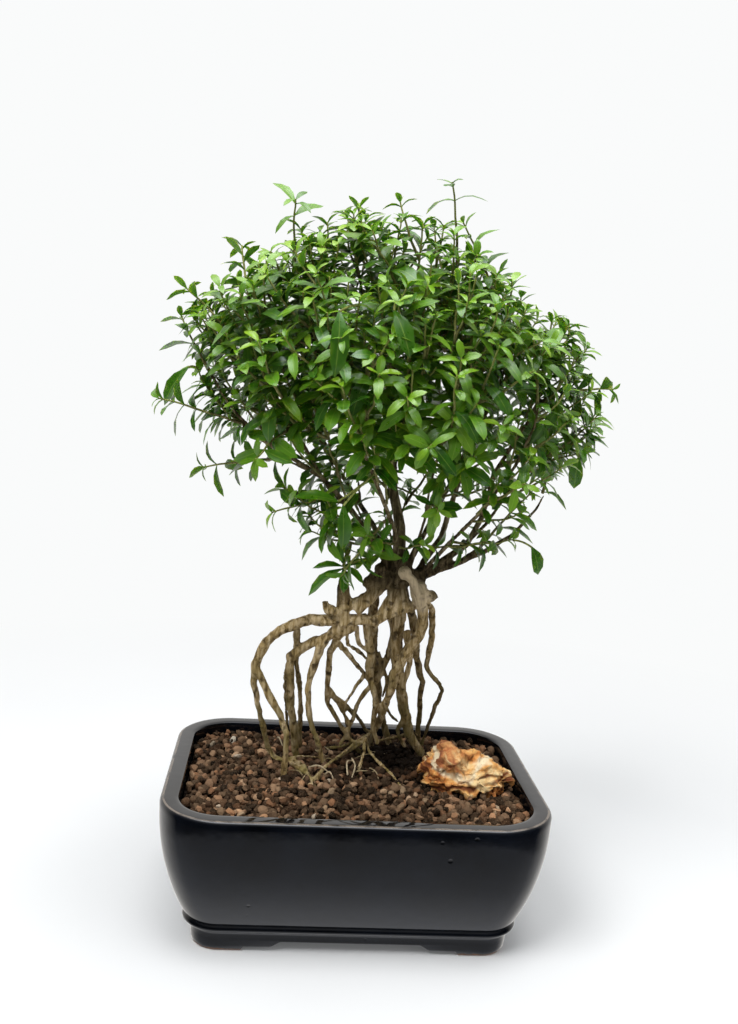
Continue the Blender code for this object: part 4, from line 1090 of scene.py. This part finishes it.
def add_twig(foliage, points, rng, thick, thin, leafy, crest=False):
    """A twig from brown wood to a green tip, with its leaves."""
    last = len(points) - 1
    lengths = [0.0]
    for a, b in zip(points, points[1:]):
        lengths.append(lengths[-1] + (b - a).length)
    radii = [thick + (thin - thick) * (k / last) ** 0.8 for k in range(last + 1)]
    youths = [clamp(1.0 - (lengths[-1] - run) / GREEN_TIP) for run in lengths]
    foliage.stem(points, radii, youths)
    add_leaves(foliage, points, rng, leafy, crest)


def wander(points, rng, amount):
    """Sways a route's inner points, so that no twig is a plain arc."""
    swayed = [points[0]]
    phase = rng.uniform(0, 50)
    for k, point in enumerate(points[1:], 1):
        share = min(1.0, k / 3)
        swayed.append(point + noise.noise_vector(point * 0.11 + Vector((phase, 0, 0))) * amount * share)
    return swayed


def node_tree(name):
    """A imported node's surface, ready for soundings."""
    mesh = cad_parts[name].data
    return BVHTree.FromPolygons([tuple(v.co) for v in mesh.vertices],
                                [tuple(p.vertices) for p in mesh.polygons])


def node_stem(name, wood):
    """The line of a packed spray's stem: from its end by the wood through the middle of its leaves."""
    cloud = in_mm(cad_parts[name].data)
    gaps = np.array([wood.find_nearest(place(point))[3] for point in cloud])
    start = cloud[gaps.argsort()[:4]].mean(axis=0)
    reach = np.linalg.norm(cloud - start, axis=1)
    far = cloud[reach > reach.max() * 0.55]
    tip = far.mean(axis=0)
    middle = cloud[(reach > reach.max() * 0.25) & (reach < reach.max() * 0.6)]
    middle = middle.mean(axis=0) if len(middle) else (start + tip) / 2
    start, tip, middle = Vector(start), Vector(tip), Vector(middle)
    end = start + (tip - start) * (reach.max() * 0.86 / max((tip - start).length, 1.0))
    control = 2 * middle - (start + end) / 2
    control = (start + end) / 2 + (control - (start + end) / 2) * 0.7
    return bend(start, control, end, max(5, round((end - start).length / 3)))


def twig_share(point, height, outward):
    """How likely a twig ends at a place: rarer inside, and in the low and middle crown's open parts."""
    share = 0.25 + 0.75 * outward ** 1.5
    if height < 0.33:
        share *= 0.25 if point.x > 14 else 0.4
    elif height < (0.57 if point.x > 25 else 0.50) and -60 < point.x < 86:
        share *= 0.3 if point.y > -26 else 0.6
    return share


def twig_ends(rng, taken):
    """Scattered ends for the added twigs, closer to each other higher up, inner ones first."""
    ends = [Vector(end) for end in CHOSEN_ENDS]
    lowest, highest = TWIG_LIMITS[2]
    for _ in range(TWIG_TRIES):
        if len(ends) == TWIG_ENDS:
            break
        point = Vector([rng.uniform(*limits) for limits in TWIG_LIMITS])
        middle, half = crown_row(point.z)
        off, deep = (point.x - middle) / half, half * CROWN_DEPTH
        if off ** 2 + (point.y / min(deep, CROWN_BACK)) ** 2 >= CROWN_FILL * CROWN_FILL:
            continue
        height = (point.z - lowest) / (highest - lowest)
        if rng.random() > twig_share(point, height, math.hypot(off, point.y / deep)):
            continue
        gap = TWIG_GAP * (0.68 if height > 0.60 else 0.95 if height > 0.42 else 1.3)
        if any((point - other).length < gap for other in ends + taken):
            continue
        ends.append(point)
    return sorted(ends, key=lambda point: (point - TRUNK_BASE).length)


def grow_twigs(wood, spray_tips):
    """Twigs that reach every part of the crown, each sprung from the nearest wood behind its end."""
    rng = random.Random(SEED)
    spots = in_mm(wood.data)
    spots = spots[spots[:, 2] > BASE_LEVEL + 6][::9]
    sectors = {}
    for end in twig_ends(rng, spray_tips):
        inward = (CROWN_FOOT - end).normalized()
        wanted = end + inward * rng.uniform(20, 30)
        gaps = np.linalg.norm(spots - np.array(wanted), axis=1)
        near = np.linalg.norm(spots - np.array(end), axis=1)
        behind = (spots - np.array(TRUNK_BASE)) @ -np.array(inward)
        ahead = float((end - TRUNK_BASE).dot(-inward))
        gaps = gaps + np.where(near < 11, 60, 0) + np.where(behind > ahead - 5, 40, 0)
        start = Vector(spots[int(gaps.argmin())])
        way = (start - TRUNK_BASE).normalized()
        run = (end - start).length
        rise = (Vector((0, 0, 1.0)) - inward * 0.7).normalized()
        control = (start + way * run * 0.35) * 0.45 + (end - rise * run * 0.5) * 0.55
        points = wander(bend(start, control, end, max(5, round(run / 3.2))), rng, 1.3)
        sector = int((math.atan2(end.y, end.x - 5) + math.pi) / math.tau * SECTORS) % SECTORS
        foliage = sectors.setdefault(sector, Foliage())
        thick = 0.55 + min(0.45, run * 0.007)
        add_twig(foliage, points, rng, thick, 0.34, min(run * 0.8, 30.0))
        inner = np.array([tuple(point) for point in points[2:max(3, int(len(points) * 0.7))]])
        spots = np.concatenate([spots, inner])
    return sectors


def make_foliage(name, foliage, bark, leaf, *nodes):
    """One piece for the stems and one for the leaves of a spray or a sector."""
    mesh = mesh_from_arrays(name, foliage.points, foliage.faces, foliage.marks)
    dress(make_object(name + "_stems", mesh), bark, "bark")
    leaves = make_object(name + "_leaves", leaf_mesh(name, foliage.leaves))
    dress(leaves, leaf, "leaf_green", *nodes, smooth=False)


def make_sprays(bark, leaf):
    """A fine leafy stem in the place of each packed spray."""
    rng = random.Random(SEED + 1)
    wood = node_tree("trunk_and_roots")
    tips = []
    for name in sorted(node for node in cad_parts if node.startswith("spray_")):
        points = wander(node_stem(name, wood), rng, 0.6)
        foliage = Foliage()
        crest = points[-1].z > TALL_SHOOT
        add_twig(foliage, points, rng, 0.8, 0.38, TALL_LEAFY if crest else SHOOT_LEAFY, crest)
        tips.append(points[-1])
        make_foliage(name.replace("spray", "shoot"), foliage, bark, leaf, name)
    return tips


def make_long_leaves(bark, leaf, spots):
    """The large single leaves, each on a short green stalk from the nearest twig."""
    foliage = Foliage()
    rng = random.Random(SEED + 2)
    for spot, way, length, width, facing in LONG_LEAVES:
        base = Vector(spot)
        along = Vector(way).normalized()
        up = squared(Vector(facing), along)
        near = Vector(spots[int(np.linalg.norm(spots - np.array(base), axis=1).argmin())])
        stalk = bend(near, (near + base) / 2 + up * 1.5 - along * 1.0, base + along * 0.5, 6)
        foliage.stem(stalk, [0.5] * len(stalk), [1.0] * len(stalk))
        foliage.leaf(base, along, up, length, width, length * 0.45, 0.55, rng.uniform(-0.5, 0.5),
                     rng.uniform(0.2, 0.5), 0.05)
    make_foliage("long", foliage, bark, leaf)


def make_rootlets(bark, tree):
    """Fine pale rootlets that lie on the grains round the foot of the roots."""
    rng = random.Random(SEED + 3)
    foliage = Foliage()
    for route in PALE_ROOTLETS:
        points, radii = tapered(route, 0.5, 0.32)
        foliage.stem(points, radii, [0.0] * len(points), pale=0.9)
    for _ in range(ROOTLETS):
        x, y = rng.uniform(-44, 40), rng.uniform(-16, 34)
        turn = rng.uniform(0, math.tau)
        length = rng.uniform(7, 15)
        start = Vector((x, y, soil_top(tree, x, y) + 1.2))
        end = start + Vector((math.cos(turn), math.sin(turn), -0.1)) * length
        control = (start + end) / 2 + Vector((rng.uniform(-4, 4), rng.uniform(-4, 4), rng.uniform(1, 4)))
        points = bend(start, control, end, 9)
        foliage.stem(points, [0.36 - 0.02 * k for k in range(10)], [0.0] * 10, pale=rng.uniform(0.0, 0.7))
    mesh = mesh_from_arrays("rootlets", foliage.points, foliage.faces, foliage.marks)
    dress(make_object("rootlets", mesh), bark, "bark")


def make_camera():
    azimuth, elevation, roll = (math.radians(a) for a in (CAMERA_AZIMUTH, CAMERA_ELEVATION, CAMERA_ROLL))
    back = Vector((math.sin(azimuth) * math.cos(elevation), -math.cos(azimuth) * math.cos(elevation),
                   math.sin(elevation)))
    right = Vector((math.cos(azimuth), math.sin(azimuth), 0.0))
    up = back.cross(right)
    turned_right = right * math.cos(roll) + up * math.sin(roll)
    turned_up = up * math.cos(roll) - right * math.sin(roll)
    camera = bpy.data.objects.new("camera", bpy.data.cameras.new("camera"))
    bpy.context.scene.collection.objects.link(camera)
    camera.matrix_world = Matrix((
        (turned_right.x, turned_up.x, back.x, 0), (turned_right.y, turned_up.y, back.y, 0),
        (turned_right.z, turned_up.z, back.z, 0), (0, 0, 0, 1),
    ))
    camera.location = place(CAMERA_AIM + back * CAMERA_DISTANCE)
    camera.data.lens = CAMERA_LENS
    camera.data.sensor_width = CAMERA_SENSOR
    camera.data.clip_start = 0.01
    bpy.context.scene.camera = camera


def make_light(name, spot, side, power):
    """A soft box, aimed at the plant, that neither the camera nor a glossy surface shows."""
    data = bpy.data.lights.new(name, "AREA")
    data.size = side
    data.energy = power
    light = bpy.data.objects.new(name, data)
    bpy.context.scene.collection.objects.link(light)
    light.location = spot
    light.rotation_euler = (Vector(LIT_SPOT) - Vector(spot)).to_track_quat("-Z", "Y").to_euler()
    light.visible_glossy = False
    light.visible_camera = False


def make_world():
    """Soft light from all around, the backdrop for the camera, and a room for glossy surfaces.

    That room is white behind and dark in front over a white floor.
    """
    world = bpy.data.worlds.new("studio")
    bpy.context.scene.world = world
    world.use_nodes = True
    looks = Textures(world.node_tree, "Generated")
    nodes = world.node_tree.nodes
    front = looks.ramp(looks.step(looks.axis("Z"), -1.0, 1.0), *(
        ((up + 1) / 2, [level * part for part in FRONT_TINT]) for up, level in FRONT_ROOM))
    room_color = looks.blend(looks.step(looks.axis("Y"), 0.0, 0.55), front, BACK_ROOM)
    soft = looks.wire(nodes["Background"], 0, {"Color": SOFT_LIGHT, "Strength": AMBIENT})
    shown = looks.wire(nodes.new("ShaderNodeBackground"), 0, {"Color": BACKDROP})
    room = looks.wire(nodes.new("ShaderNodeBackground"), 0, {"Color": room_color})
    ray = nodes.new("ShaderNodeLightPath").outputs
    glossy = looks.wire(nodes.new("ShaderNodeMixShader"), 0, {0: ray["Is Glossy Ray"], 1: soft, 2: room})
    seen = looks.wire(nodes.new("ShaderNodeMixShader"), 0, {0: ray["Is Camera Ray"], 1: glossy, 2: shown})
    looks.link(seen, nodes["World Output"].inputs["Surface"])


def make_floor():
    """A pale floor that glows a little, painted light that softens the shadows on it, and fades into the
    backdrop, so that no horizon shows.
    """
    looks = Looks("studio_floor", Roughness=0.9, Specular_IOR_Level=0.0)
    near = looks.ramp(looks.noise(5.0, 2.0), (0.3, (0.70, 0.71, 0.715)), (0.7, (0.73, 0.74, 0.745)))
    far = looks.step(looks.around((0, 0, 0), 1.0), *FLOOR_FADE)
    looks.link(BACKDROP, looks.shader.inputs["Emission Color"])
    looks.link(looks.plus(FLOOR_GLOW, looks.times(far, 1.0 - FLOOR_GLOW)),
               looks.shader.inputs["Emission Strength"])
    ring = circle(FLOOR_RADIUS, -FLOOR_DROP)
    floor = make_object("studio_floor", mesh_from_arrays("studio_floor", ring, [tuple(range(len(ring)))]))
    floor.data.materials.append(looks.finish(looks.over(near, (0.0, 0.0, 0.0), far)))
    floor.visible_glossy = False


def build():
    # noise_vector starts from the clock unless it is seeded
    noise.seed_set(SEED)
    bpy.context.scene.view_settings.view_transform = "Standard"
    make_camera()
    make_world()
    make_floor()
    for name, settings in SOFT_BOXES.items():
        make_light(name, *settings)
    bark = bark_looks()
    leaf = leaf_looks()
    tree = node_tree("soil")
    make_pot(glaze_looks())
    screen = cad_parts["drain_screen"]
    screen.data.materials.clear()
    screen.data.materials.append(screen_looks())
    make_bed(bed_looks())
    make_grains(grain_looks(), tree)
    make_rock(rock_looks())
    wood = regrow(bark)
    make_rootlets(bark, tree)
    tips = make_sprays(bark, leaf)
    sectors = grow_twigs(wood, tips)
    for sector, foliage in sorted(sectors.items()):
        make_foliage(f"sector_{sector + 1}", foliage, bark, leaf)
    twigs = np.concatenate([np.array(foliage.points) for foliage in sectors.values()])
    make_long_leaves(bark, leaf, twigs)


build()
